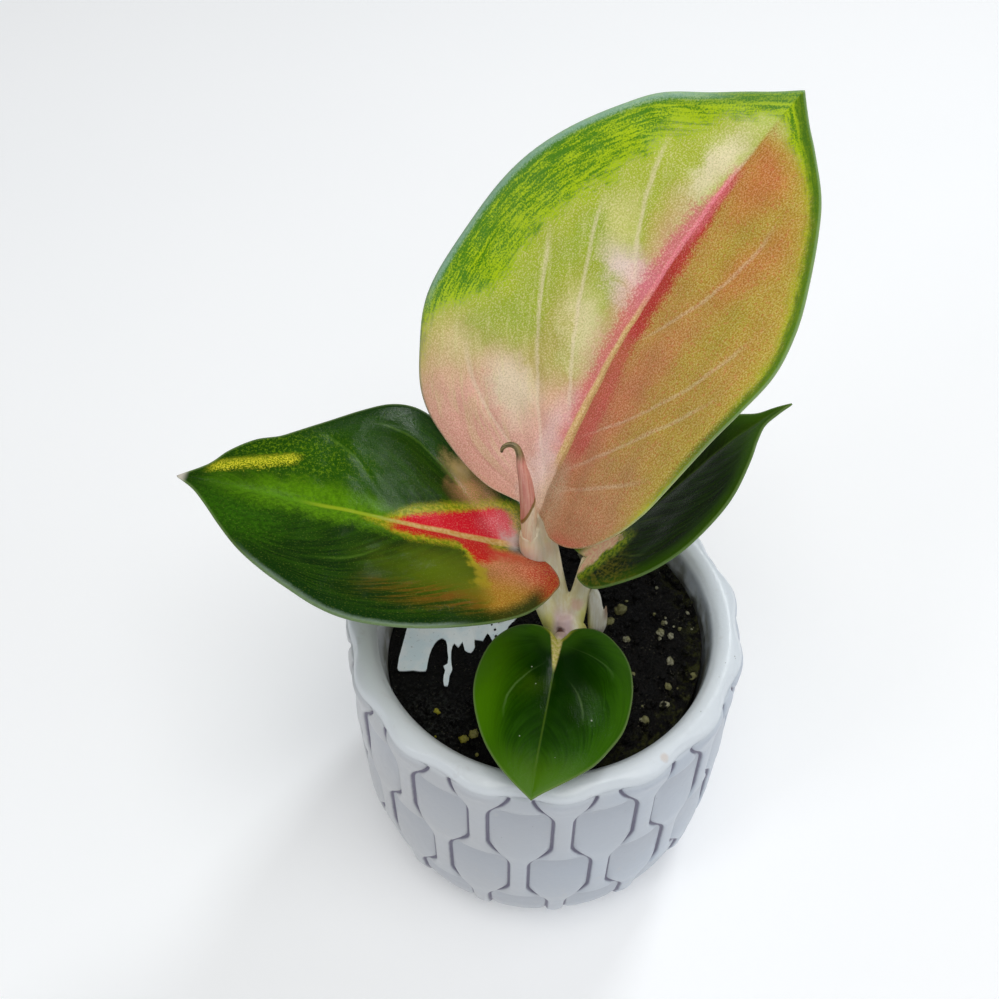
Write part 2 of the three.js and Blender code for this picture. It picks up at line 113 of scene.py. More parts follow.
class Wire:
    # a value in a shader: arithmetic on it adds Math nodes
    def __init__(self, paint, link):
        self.paint = paint
        self.link = link

    def maths(self, operation, first, second=0.0):
        return self.paint.node("ShaderNodeMath", {"operation": operation}, {0: first, 1: second})

    def __add__(self, other):
        return self.maths("ADD", self, other)

    def __radd__(self, other):
        return self.maths("ADD", other, self)

    def __sub__(self, other):
        return self.maths("SUBTRACT", self, other)

    def __rsub__(self, other):
        return self.maths("SUBTRACT", other, self)

    def __mul__(self, other):
        return self.maths("MULTIPLY", self, other)

    def __rmul__(self, other):
        return self.maths("MULTIPLY", other, self)

    def __truediv__(self, other):
        return self.maths("DIVIDE", self, other)

    def __pow__(self, other):
        return self.maths("POWER", self, other)

    def __neg__(self):
        return self.maths("MULTIPLY", self, -1.0)

    def __abs__(self):
        return self.maths("ABSOLUTE", self)

    def least(self, other):
        return self.maths("MINIMUM", self, other)

    def rise(self, low, high):
        # 0 below low, 1 above high, smooth between
        return self.paint.node("ShaderNodeMapRange", {"interpolation_type": "SMOOTHSTEP"},
                               {"Value": self, "From Min": low, "From Max": high})

    def fall(self, low, high):
        return 1 - self.rise(low, high)

    def within(self, low, high, soft):
        return self.rise(low - soft, low + soft) * self.fall(high - soft, high + soft)


class Paint:
    # one procedural material around a Principled shader
    def __init__(self, name, shader):
        self.material = bpy.data.materials.new(name)
        self.material.use_nodes = True
        self.tree = self.material.node_tree
        self.shader = self.tree.nodes["Principled BSDF"]
        for socket, value in shader.items():
            self.shader.inputs[socket].default_value = value

    def node(self, kind, settings=None, sockets=None, output=0):
        made = self.tree.nodes.new(kind)
        for name, value in (settings or {}).items():
            setattr(made, name, value)
        for name, value in (sockets or {}).items():
            if isinstance(value, Wire):
                self.tree.links.new(value.link, made.inputs[name])
            else:
                made.inputs[name].default_value = value
        return Wire(self, made.outputs[output])

    def attribute(self, name, output="Vector"):
        return self.node("ShaderNodeAttribute", {"attribute_name": name}, output=output)

    def object(self):
        # position in millimetres
        place = self.node("ShaderNodeTexCoord", output="Object")
        return self.node("ShaderNodeVectorMath", {"operation": "SCALE"}, {0: place, "Scale": 1000.0})

    def split(self, vector):
        return [self.node("ShaderNodeSeparateXYZ", sockets={0: vector}, output=i) for i in range(3)]

    def joined(self, x, y, z=0.0):
        return self.node("ShaderNodeCombineXYZ", sockets={0: x, 1: y, 2: z})

    def wayTo(self, vector, point):
        return self.node("ShaderNodeVectorMath", {"operation": "DISTANCE"}, {0: vector, 1: point}, 1)

    def cloud(self, vector, scale, detail=2.0, roughness=0.5):
        return self.node("ShaderNodeTexNoise", {"noise_dimensions": "3D"},
                         {"Vector": vector, "Scale": scale, "Detail": detail, "Roughness": roughness})

    def cells(self, vector, scale, feature="F1"):
        return self.node("ShaderNodeTexVoronoi", {"feature": feature}, {"Vector": vector, "Scale": scale})

    def mix(self, amount, first, second, how="MIX"):
        return self.node("ShaderNodeMix", {"data_type": "RGBA", "blend_type": how, "clamp_factor": True},
                         {0: amount, 6: first, 7: second}, 2)

    def layers(self, base, *coats):
        # coats of colour one over the other, each a mask and a colour
        colour = base
        for mask, coat in coats:
            colour = self.mix(mask, colour, coat)
        return colour

    def bump(self, height, strength, distance, normal=None):
        sockets = {"Height": height, "Strength": strength, "Distance": distance}
        if normal:
            sockets["Normal"] = normal
        return self.node("ShaderNodeBump", sockets=sockets)

    def put(self, socket, wire):
        self.tree.links.new(wire.link, self.shader.inputs[socket])


# mesh tools


def smooth(low, high, x):
    t = np.clip((np.asarray(x, float) - low) / (high - low), 0, 1)
    return t * t * (3 - 2 * t)


def mixed(a, b, t):
    return a + (b - a) * t


def throughPoints(points, perSpan):
    # centripetal Catmull-Rom curve; columns after the first three, such as a radius, ride along
    p = np.asarray(points, float)
    ends = np.vstack([2 * p[0] - p[1], p, 2 * p[-1] - p[-2]])
    t = np.linspace(0, 1, perSpan, endpoint=False)[:, None]
    samples = []
    for x0, x1, x2, x3 in zip(ends, ends[1:], ends[2:], ends[3:]):
        ways = [np.linalg.norm((b - a)[:3]) for a, b in ((x0, x1), (x1, x2), (x2, x3))]
        d0, d1, d2 = [max(way, 1e-6) ** 0.5 for way in ways]
        m1 = ((x1 - x0) / d0 - (x2 - x0) / (d0 + d1) + (x2 - x1) / d1) * d1
        m2 = ((x2 - x1) / d1 - (x3 - x1) / (d1 + d2) + (x3 - x2) / d2) * d1
        c2 = -3 * x1 + 3 * x2 - 2 * m1 - m2
        c3 = 2 * x1 - 2 * x2 + m1 + m2
        samples.append(x1 + m1 * t + c2 * t ** 2 + c3 * t ** 3)
    samples.append(p[-1:])
    return np.vstack(samples)


def alongLength(samples, count):
    # evenly spaced points on a sampled curve
    steps = np.linalg.norm(np.diff(samples[:, :3], axis=0), axis=1)
    length = np.concatenate([[0], np.cumsum(steps)])
    want = np.linspace(0, length[-1], count)
    return np.stack([np.interp(want, length, samples[:, c]) for c in range(samples.shape[1])], -1)


def ringFaces(rings, around):
    i, j = np.meshgrid(np.arange(rings - 1), np.arange(around), indexing="ij")
    a = (i * around + j).ravel()
    b = (i * around + (j + 1) % around).ravel()
    return np.stack([a, b, b + around, a + around], -1).tolist()


def closedSkin(rings, start, end):
    # a closed skin over rings of equal length, with one point at each end
    count, around = rings.shape[:2]
    points = np.vstack([rings.reshape(-1, 3), [start], [end]])
    faces = ringFaces(count, around)
    last = (count - 1) * around
    for j in range(around):
        faces.append([count * around, (j + 1) % around, j])
        faces.append([count * around + 1, last + j, last + (j + 1) % around])
    return points, faces


def framesAlong(line):
    # the way on, sideways and up at each point of a curve, turned as little as possible
    along = np.gradient(line[:, :3], axis=0)
    along /= np.linalg.norm(along, axis=1)[:, None]
    side = np.array([1.0, 0, 0])
    frames = []
    for way in along:
        side = side - way * side.dot(way)
        side /= np.linalg.norm(side)
        frames.append((way, side, np.cross(way, side)))
    return frames


def tube(path, sides=20, perSpan=8, flat=1.0):
    # a round tube through points that each have a radius, closed at both ends
    line = throughPoints(path, perSpan)
    frames = framesAlong(line)
    turn = np.linspace(0, 2 * math.pi, sides, endpoint=False)
    rings = []
    for centre, (_, side, up) in zip(line, frames):
        spoke = np.outer(np.cos(turn), side) + np.outer(np.sin(turn) * flat, up)
        rings.append(centre[:3] + spoke * max(centre[3], 0.05))
    start = line[0, :3] - frames[0][0] * line[0, 3] * 0.35
    end = line[-1, :3] + frames[-1][0] * line[-1, 3] * 0.35
    return closedSkin(np.array(rings), start, end)


def joinedMesh(parts):
    points = []
    faces = []
    for partPoints, partFaces in parts:
        shift = sum(len(p) for p in points)
        points.append(partPoints)
        faces += [[i + shift for i in face] for face in partFaces]
    return np.vstack(points), faces


def newMesh(name, points, faces):
    mesh = bpy.data.meshes.new(name)
    mesh.from_pydata((np.asarray(points) * mm).tolist(), [], faces)
    work = bmesh.new()
    work.from_mesh(mesh)
    bmesh.ops.recalc_face_normals(work, faces=work.faces)
    work.to_mesh(mesh)
    work.free()
    return mesh


def storeVector(mesh, name, values):
    layer = mesh.attributes.new(name, "FLOAT_VECTOR", "POINT")
    layer.data.foreach_set("vector", np.ascontiguousarray(values, np.float32).ravel())


def placePiece(name, mesh, paint, nodes):
    obj = bpy.data.objects.new(name, mesh)
    bpy.context.scene.collection.objects.link(obj)
    mesh.materials.append(paint.material)
    mesh.polygons.foreach_set("use_smooth", [True] * len(mesh.polygons))
    if nodes:
        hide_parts(*nodes)
    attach(obj, "root")
    print(name, len(mesh.polygons), "faces")
    return obj


def remeshed(name, points, faces, voxel, smoothing):
    # the pieces grown together in one skin
    source = bpy.data.objects.new(name + "Rough", newMesh(name + "Rough", points, faces))
    bpy.context.scene.collection.objects.link(source)
    grow = source.modifiers.new("skin", "REMESH")
    grow.mode = "VOXEL"
    grow.voxel_size = voxel * mm
    soften = source.modifiers.new("soften", "SMOOTH")
    soften.factor = 0.5
    soften.iterations = smoothing
    ready = source.evaluated_get(bpy.context.evaluated_depsgraph_get())
    mesh = bpy.data.meshes.new_from_object(ready)
    mesh.name = name
    bpy.data.objects.remove(source)
    return mesh


# floor


def makeFloor():
    paint = Paint("paleFloor", {"Roughness": 0.75, "Specular IOR Level": 0.2, "Emission Strength": 0.09})
    paint.shader.inputs["Emission Color"].default_value = (1, 1, 1, 1)
    place = paint.object()
    uneven = paint.cloud(place, 0.004, 3.0)
    paint.put("Base Color", paint.mix(uneven, tint(246, 247, 248), tint(250, 250, 250)))
    half = surroundings["floorSize"] / 2 / mm
    corners = [(-half, -half, 0), (half, -half, 0), (half, half, 0), (-half, half, 0)]
    mesh = newMesh("floor", corners, [[0, 1, 2, 3]])
    mesh.materials.append(paint.material)
    obj = bpy.data.objects.new("floor", mesh)
    bpy.context.scene.collection.objects.link(obj)


# pot

pot = {
    "height": 102,
    "floorThickness": 8,
    # outer wall from the foot up, the rounded rim, and the inner wall down to the floor: height, radius
    "wall": [(0, 41.5), (0.9, 43.6), (2.6, 46.6), (5, 50), (8.5, 53.6), (13, 56.2), (19, 58.2),
             (27, 59.3), (40, 60), (60, 60.2), (80, 60.2), (96, 60), (98.6, 59.7)],
    "rim": [(98.6, 59.7), (99.6, 59.5), (101.3, 58.3), (102, 56), (101.3, 53.4), (99, 51.4)],
    "cavity": [(99, 51.4), (91, 50.3), (80, 49.2), (26, 48.4), (14, 45), (8, 37)],
    "columnPairs": 15,
    "reliefPhase": -7.6,
    "reliefPitch": 60,
    "reliefStart": 9.4,
    "edgeSwing": 3.1,
    "edgeSlope": 1.65,
    "cellRecess": 1.4,
    "cellBulge": 0.7,
    "neckCrown": 0.75,
    "grooveDepth": 0.5,
    "grooveWidth": 0.6,
    "rimWave": 0.9,
}


def edgeSwingAt(depth):
    turns = (depth - pot["reliefStart"]) / pot["reliefPitch"]
    s = np.clip(pot["edgeSlope"] * np.sin(2 * math.pi * turns), -1, 1)
    return 1.3 * s - 0.3 * s ** 3


def reliefAt(odd, x, depth):
    # outward height in a column, at x from -1 to 1 across it
    shift = np.where(odd, pot["reliefPitch"] / 2, 0)
    cycle = ((depth - pot["reliefStart"] - shift) / pot["reliefPitch"]) % 1
    across = 1 - x * x
    neck = pot["neckCrown"] * (0.35 + 0.65 * across)
    hollow = np.clip(cycle * 2, 0, 1) ** 1.15
    cell = mixed(-pot["cellRecess"], pot["cellBulge"], hollow) + 0.25 * across
    lip = smooth(-0.01, 0.075, cycle)
    foot = smooth(0.44, 0.56, cycle)
    body = np.where(cycle < 0.5, mixed(neck, mixed(cell, neck, foot), lip), mixed(cell, neck, foot))
    return mixed(body, -pot["grooveDepth"], smooth(0.74, 1, np.abs(x))), cycle


def reliefFade(z):
    top = pot["height"]
    wall = smooth(0, 9, z) * (1 - smooth(top - 4.6, top - 1.2, z))
    return wall + 0.35 * smooth(0.5, 2, z) * (1 - smooth(2, 9, z))


def potHeights():
    # close rows where the cells begin, wider ones between
    starts = pot["height"] - pot["reliefStart"] - 30 * np.arange(4)
    z = 0.0
    heights = [0.0]
    while z < 98.2:
        near = np.abs(z - (starts - 0.6)).min()
        z += 0.45 if near < 5.2 else 1.5
        heights.append(z)
    return heights


def makePot():
    spread = [0, 0.28, 0.5, 0.68, 0.8, 0.88, 0.93, 0.965, 1]
    across = np.array([-x for x in spread[:0:-1]] + spread[:-1])
    columns = 2 * pot["columnPairs"]
    j = np.repeat(np.arange(columns), len(across))
    x = np.tile(across, columns)
    odd = j % 2 == 1
    wallZ, wallR = np.array(pot["wall"]).T
    rings = []
    marks = []

    def leanAt(z):
        return edgeSwingAt(pot["height"] - z) * (1 - smooth(pot["height"] - 4, pot["height"] - 1, z))

    def addRing(z, r, raised):
        depth = pot["height"] - z
        lean = leanAt(z) if raised else 0
        half = 180 / columns + np.where(odd, -1, 1) * pot["edgeSwing"] * lean
        angle = np.radians(pot["reliefPhase"] + j * 360 / columns + x * half)
        out = np.full(len(j), float(r))
        line = np.zeros(len(j))
        cell = np.zeros(len(j))
        if raised:
            lift, cycle = reliefAt(odd, x, depth)
            # the way to the edge is measured square to it, so the line keeps its width on the shoulders
            steep = math.radians(pot["edgeSwing"]) * (leanAt(z + 0.3) - leanAt(z - 0.3)) / 0.6 * r
            toEdge = (1 - np.abs(x)) * np.radians(half) * r / math.hypot(1, steep)
            lift = lift - 0.3 * np.exp(-(toEdge / 0.5) ** 2)
            out += lift * reliefFade(z)
            drawn = smooth(3, 8, z) * (1 - smooth(pot["height"] - 4.6, pot["height"] - 2.6, z))
            line = np.exp(-(toEdge / pot["grooveWidth"]) ** 2) * drawn
            # painted shade: darkest at the recessed top of each cell, under the ledge, fading down the cell
            cell = np.where(cycle < 0.5, 1 - cycle * 2, 0) * smooth(0, 0.05, cycle)
        wave = np.cos(angle * pot["columnPairs"] - math.radians(pot["reliefPhase"]) * pot["columnPairs"])
        out -= pot["rimWave"] * wave * smooth(93, 98, z) * smooth(52, 58, r) * (1 - smooth(101, 102, z))
        rings.append(np.stack([out * np.sin(angle), -out * np.cos(angle), np.full(len(j), float(z))], -1))
        marks.append(np.stack([line, cell, np.zeros(len(j))], -1))

    addRing(0.0, 38.0, False)
    addRing(0.0, wallR[0], False)
    for z in potHeights()[1:]:
        addRing(z, np.interp(z, wallZ, wallR), True)
    rim = throughPoints([(r, z, 0) for z, r in pot["rim"]], 4)
    for r, z, _ in rim[1:]:
        addRing(z, r, False)
    cavity = throughPoints([(r, z, 0) for z, r in pot["cavity"]], 4)
    for r, z, _ in cavity[1:]:
        addRing(z, r, False)
    addRing(pot["floorThickness"], 20.0, False)
    points, faces = closedSkin(np.array(rings), (0, 0, 0), (0, 0, pot["floorThickness"]))
    mesh = newMesh("potBody", points, faces)
    storeVector(mesh, "relief", np.vstack([np.vstack(marks), np.zeros((2, 3))]))
    placePiece("potBody", mesh, potGlaze(), ["pot"])


def potGlaze():
    paint = Paint("whiteGlaze", {"Roughness": 0.3, "Specular IOR Level": 0.5, "Coat Roughness": 0.12})
    place = paint.object()
    x, y, z = paint.split(place)
    line, cell, _ = paint.split(paint.attribute("relief"))
    broad = paint.cloud(place, 0.03, 3.0)
    fine = paint.cloud(place, 0.35, 4.0, 0.6)
    # the glaze runs thin and shows a darker body along the edges of the cells
    thin = (line * (0.78 + fine * 0.5)).rise(0.25, 0.8)
    # painted light: the glaze tint runs from grey on the left to bluish on the right, as the light falls on
    # the sides, broken up by a broad cloud
    side = (x * 0.011 + broad * 0.8 - 0.4).rise(-0.75, 0.75)
    base = paint.mix(side, tint(190, 191, 193), tint(188, 198, 211))
    pits = paint.cells(place, 0.42).fall(0.05, 0.1) * paint.cloud(place, 0.16).rise(0.56, 0.66)
    stains = (paint.cloud(place, 0.22, 5.0, 0.65).rise(0.58, 0.74)) * 0.35
    radius = (x * x + y * y) ** 0.5
    inside = radius.fall(50.5, 52.0) * z.rise(60.0, 70.0)
    soilLine = (x * 0.11 + 3.5).fall(0.0, 7.0) * -7.5 + 96.5
    patchy = paint.cloud(place, 0.12, 4.0).rise(0.36, 0.6)
    algae = inside * (z + fine * 9.0 - 4.5 - soilLine).fall(-2.0, 4.5) * patchy
    chip = paint.wayTo(place, (32.5, -47.5, 101.6))
    colour = paint.layers(
        base,
        # painted highlight: the rim top is painted lighter, where it faces the light
        (z.rise(97.0, 100.5) * 0.75, tint(228, 234, 238)),
        # painted shade in the recessed top of each cell
        (cell * 0.6, tint(156, 162, 174)),
        (stains, tint(196, 195, 194)),
        (inside * 0.35, tint(203, 205, 208)),
        (algae * 0.75, tint(96, 94, 72)),
        (thin * 0.85, tint(104, 98, 122)),
        (pits * 0.7, tint(92, 86, 84)),
        ((chip + fine * 1.5).fall(1.6, 2.6) * 0.6, tint(206, 190, 178)),
    )
    paint.put("Base Color", colour)
    paint.put("Roughness", 0.24 + fine * 0.16 + thin * 0.2)
    height = fine * 0.45 + paint.cloud(place, 1.6, 2.0) * 0.06 - pits * 0.5
    paint.put("Normal", paint.bump(height, 0.45, 0.0008))
    return paint


# soil

soil = {
    "high": 92,
    "low": 81.5,
    "clodHeight": 1.5,
    "stem": (6.6, -1),
    "holeRadius": 6.3,
    # larger perlite grains: x, y, radius
    "perlite": [
        (24.5, 7.8, 2.1), (20.8, 3.9, 1.3), (25.6, -2.3, 1.1), (36.2, -0.5, 1.3), (39.2, -1.9, 1.1),
        (38, 3.6, 1), (38.4, -10.4, 1.2), (44.6, -15.5, 1.3), (37, -19.4, 1.1), (35.4, -25.8, 1.5),
        (28.9, -31.4, 1.3), (-24.5, -31, 1.3), (-21.5, -29.5, 1.5), (-33, -22, 1.1), (2, -36, 1),
        (14, 30, 1.6), (-6, 34, 1.4), (-30, 20, 1.2),
    ],
    "crumbs": 620,
    "smallGrains": 46,
}


def seeded(seed):
    state = seed
    while True:
        state = (state * 1664525 + 1013904223) % 4294967296
        yield state / 4294967296


def somewhere(draw, reach):
    # a place on a disc, evenly spread
    angle = next(draw) * 2 * math.pi
    r = reach * math.sqrt(next(draw))
    return r * math.cos(angle), r * math.sin(angle)


def clodList():
    # place, width and height of each clod
    draw = seeded(41)
    return [(*somewhere(draw, 48), 3 + 3.4 * next(draw), 0.45 + 0.75 * next(draw)) for _ in range(90)]


clods = clodList()


def wetAt(x, y):
    return (1 - smooth(-24, -14, x)) * smooth(-24, -8, y) * (1 - smooth(12, 26, y))


def isFree(x, y, gap):
    # away from the stem and the water
    return math.hypot(x - soil["stem"][0], y - soil["stem"][1]) > gap and wetAt(x, y) < 0.3


def soilHeight(x, y):
    x = np.asarray(x, float)
    y = np.asarray(y, float)
    slope = mixed(soil["low"], soil["high"], smooth(-30, 12, x + 0.25 * y))
    lumps = np.zeros_like(x)
    for cx, cy, size, tall in clods:
        d = ((x - cx) ** 2 + (y - cy) ** 2) / size ** 2
        lumps = np.maximum(lumps, np.where(d < 4, tall * np.exp(-d), 0))
    clear = smooth(6.5, 10.5, np.hypot(x - soil["stem"][0], y - soil["stem"][1]))
    return slope + soil["clodHeight"] * lumps * (1 - wetAt(x, y)) * clear


def crumbHeight(x, y):
    # small lumps and pits on top of the clods
    rough = np.zeros(len(x))
    for i, (px, py) in enumerate(zip(x, y)):
        big = noise.fractal((px * 0.3, py * 0.3, 1.7), 0.8, 2.1, 3)
        cell = noise.voronoi((px * 0.55, py * 0.55, 4.2))[0][0]
        small = noise.voronoi((px * 1.1, py * 1.1, 8.4))[0][0]
        rough[i] = 0.6 * big + 1.0 * (0.45 - cell) + 0.5 * (0.4 - small)
    return rough * (1 - 0.9 * wetAt(x, y))


def makeSoil():
    around = 300
    turn = np.linspace(0, 2 * math.pi, around, endpoint=False)
    cavity = np.array(sorted(pot["cavity"]))
    rings = []
    for z, inset in ((8.3, 0.6), (14.4, 0.4), (26, 0.4), (60, 0.4), (78, 0.4)):
        r = np.interp(z, cavity[:, 0], cavity[:, 1]) - inset
        rings.append(np.stack([r * np.cos(turn), r * np.sin(turn), np.full(around, z)], -1))
    for r in np.concatenate([[48.95], np.arange(48.5, 1.0, -0.55)]):
        x, y = r * np.cos(turn), r * np.sin(turn)
        fine = crumbHeight(x, y) * smooth(49.5, 47, r)
        rings.append(np.stack([x, y, soilHeight(x, y) + fine], -1))
    points, faces = closedSkin(np.array(rings), (0, 0, 8.3), (0, 0, float(soilHeight(0, 0))))
    placePiece("pottingMix", newMesh("pottingMix", points, faces), soilPaint(), ["soil"])


def soilPaint():
    paint = Paint("wetPottingMix", {"Specular IOR Level": 0.14})
    place = paint.object()
    x, y, _ = paint.split(place)
    grain = paint.cloud(place, 1.1, 4.0, 0.7)
    broad = paint.cloud(place, 0.12, 3.0)
    radius = (x * x + y * y) ** 0.5
    bark = paint.cells(place, 0.8)
    edge = radius.rise(40.0, 49.0)
    moss = edge * x.rise(5.0, 30.0) * paint.cloud(place, 0.3, 4.0, 0.7).rise(0.48, 0.62)
    specks = paint.cells(place, 1.1).fall(0.12, 0.18) * paint.cloud(place, 0.21, 2.0).rise(0.5, 0.6)
    grey = (-x).rise(14.0, 34.0) * (-y).rise(6.0, 22.0) * grain.rise(0.5, 0.62)
    colour = paint.layers(
        paint.mix(grain.rise(0.4, 0.66), tint(2, 2, 2), tint(17, 15, 13)),
        (bark.rise(0.45, 0.8) * 0.3, tint(26, 21, 16)),
        (broad.rise(0.5, 0.7) * 0.3, tint(12, 14, 16)),
        (grey * 0.6, tint(70, 73, 70)),
        (moss * 0.7, tint(60, 62, 24)),
        (specks * 0.7, tint(120, 116, 96)),
    )
    paint.put("Base Color", colour)
    paint.put("Roughness", 0.2 + grain * 0.35)
    height = grain * 0.9 + bark * 0.4 + paint.cloud(place, 3.0, 2.0) * 0.3
    paint.put("Normal", paint.bump(height, 1.0, 0.0012))
    return paint


def lumpShape(centre, size, draw, detail=1, squash=0.8):
    # one irregular grain
    work = bmesh.new()
    bmesh.ops.create_icosphere(work, subdivisions=detail, radius=1.0)
    points = np.array([v.co[:] for v in work.verts])
    faces = [[v.index for v in f.verts] for f in work.faces]
    work.free()
    stretch = np.array([0.75 + 0.5 * next(draw), 0.75 + 0.5 * next(draw), squash * (0.75 + 0.5 * next(draw))])
    shift = 10 * next(draw)
    bulge = np.array([noise.noise(Vector(p) * 1.6 + Vector((shift, 0, 0))) for p in points])
    turn = 2 * math.pi * next(draw)
    spin = np.array([[math.cos(turn), -math.sin(turn), 0], [math.sin(turn), math.cos(turn), 0], [0, 0, 1]])
    shaped = (points * (1 + 0.45 * bulge)[:, None] * stretch) @ spin.T
    return shaped * size + np.array(centre), faces


def makeCrumbs():
    draw = seeded(7)
    parts = []
    while len(parts) < soil["crumbs"]:
        x, y = somewhere(draw, 47.6)
        size = 0.45 + 1.1 * next(draw) ** 2.5
        if isFree(x, y, 8):
            parts.append(lumpShape((x, y, float(soilHeight(x, y)) + 0.35 * size), size, draw))
    points, faces = joinedMesh(parts)
    placePiece("soilCrumbs", newMesh("soilCrumbs", points, faces), soilPaint(), [])


def makePerlite():
    draw = seeded(19)
    parts = []
    for x, y, r in soil["perlite"]:
        parts.append(lumpShape((x, y, float(soilHeight(x, y)) + 0.25 * r), r, draw, 3))
    while len(parts) < len(soil["perlite"]) + soil["smallGrains"]:
        x, y = somewhere(draw, 47)
        size = 0.3 + 0.45 * next(draw)
        if isFree(x, y, 9) and next(draw) < 0.35 + 0.65 * (x > 12):
            parts.append(lumpShape((x, y, float(soilHeight(x, y)) + 0.4 * size), size, draw, 2))
    points, faces = joinedMesh(parts)
    placePiece("perliteGrains", newMesh("perliteGrains", points, faces), perlitePaint(), [])


def perlitePaint():
    paint = Paint("perlite", {"Specular IOR Level": 0.3})
    place = paint.object()
    x = paint.split(place)[0]
    grain = paint.cloud(place, 1.1, 4.0, 0.6)
    broad = paint.cloud(place, 0.09, 1.0)
    left = x.fall(-30.0, -10.0)
    colour = paint.layers(
        paint.mix(grain.rise(0.3, 0.7), tint(78, 76, 54), tint(158, 156, 132)),
        (broad.rise(0.48, 0.6) * 0.8, tint(98, 96, 48)),
        (left, tint(150, 144, 40)),
        (grain.fall(0.3, 0.42) * 0.8, tint(52, 48, 30)),
    )
    paint.put("Base Color", colour)
    paint.put("Roughness", 0.45 + grain * 0.4)
    paint.put("Normal", paint.bump(grain + paint.cells(place, 1.6) * 0.5, 0.7, 0.0008))
    return paint


# water standing on the soil at the left, its pale colour a painted reflection of the bright surroundings;
# outline x, y, round the dark bay in its middle

water = {
    "outline": [
        (-43.2, 11), (-44.6, 3), (-45.9, -6.3), (-45.2, -7.3), (-41, -7.1), (-37, -7.4), (-36.5, -5),
        (-35.9, -1), (-34.4, 3), (-32.4, 4.9), (-30.9, 4), (-30.3, 0), (-30.1, -4.6), (-31.4, -5.6),
        (-30.8, -7), (-31.2, -9), (-31, -12.6), (-29.9, -12.8), (-29.4, -9), (-28.6, -6.8), (-28.9, -5),
        (-29.1, 0), (-28.2, 3), (-26.9, 1.4), (-25.6, 3.6), (-24.8, 0.4), (-22.8, -0.8), (-21.6, 1),
        (-21.7, 3.8), (-19, 2.6), (-17.6, 5), (-16, 2), (-14.6, 0.4), (-12.6, 2.4), (-10.8, 6.4), (-8, 9),
        (-10, 14), (-24, 15), (-36, 14),
    ],
    "depth": 0.5,
}


def makeWater():
    outline = throughPoints([(x, y, 0) for x, y in water["outline"]] + [(*water["outline"][0], 0)], 2)[:-1]
    x, y = outline[:, 0], outline[:, 1]
    # level over the hollow, then up the slope with the soil
    upper = np.stack([x, y, np.maximum(82.35, soilHeight(x, y) + 0.35)], -1)
    lower = upper - np.array([0, 0, water["depth"]])
    count = len(upper)
    work = bmesh.new()
    high = [work.verts.new(p * mm) for p in upper]
    low = [work.verts.new(p * mm) for p in lower]
    for i in range(count):
        work.faces.new([high[i], high[(i + 1) % count], low[(i + 1) % count], low[i]])
    for loop in (high, low):
        edges = [work.edges.get((loop[i], loop[(i + 1) % count])) for i in range(count)]
        bmesh.ops.triangle_fill(work, edges=edges, use_beauty=True)
    bmesh.ops.recalc_face_normals(work, faces=work.faces)
    mesh = bpy.data.meshes.new("standingWater")
    work.to_mesh(mesh)
    work.free()
    paint = Paint("waterPaintedReflection", {"Specular IOR Level": 0.5, "Roughness": 0.12})
    place = paint.object()
    reflectionCloud = paint.cloud(place, 0.16, 4.0)
    # painted reflection: the pale bluish surroundings mirrored in the water, broken by darker flecks
    colour = paint.layers(
        paint.mix(reflectionCloud.rise(0.35, 0.65), tint(228, 243, 250), tint(246, 252, 255)),
        (paint.cloud(place, 0.9, 4.0, 0.7).rise(0.6, 0.7) * 0.5, tint(120, 134, 140)),
    )
    paint.put("Base Color", colour)
    placePiece("standingWater", mesh, paint, [])
    mesh.polygons.foreach_set("use_smooth", [False] * len(mesh.polygons))


# blades: control points of the midrib; roll, fold and curl at the base and at the tip; outline stations
# along and across the midrib, left and right of it looking from the base to the tip

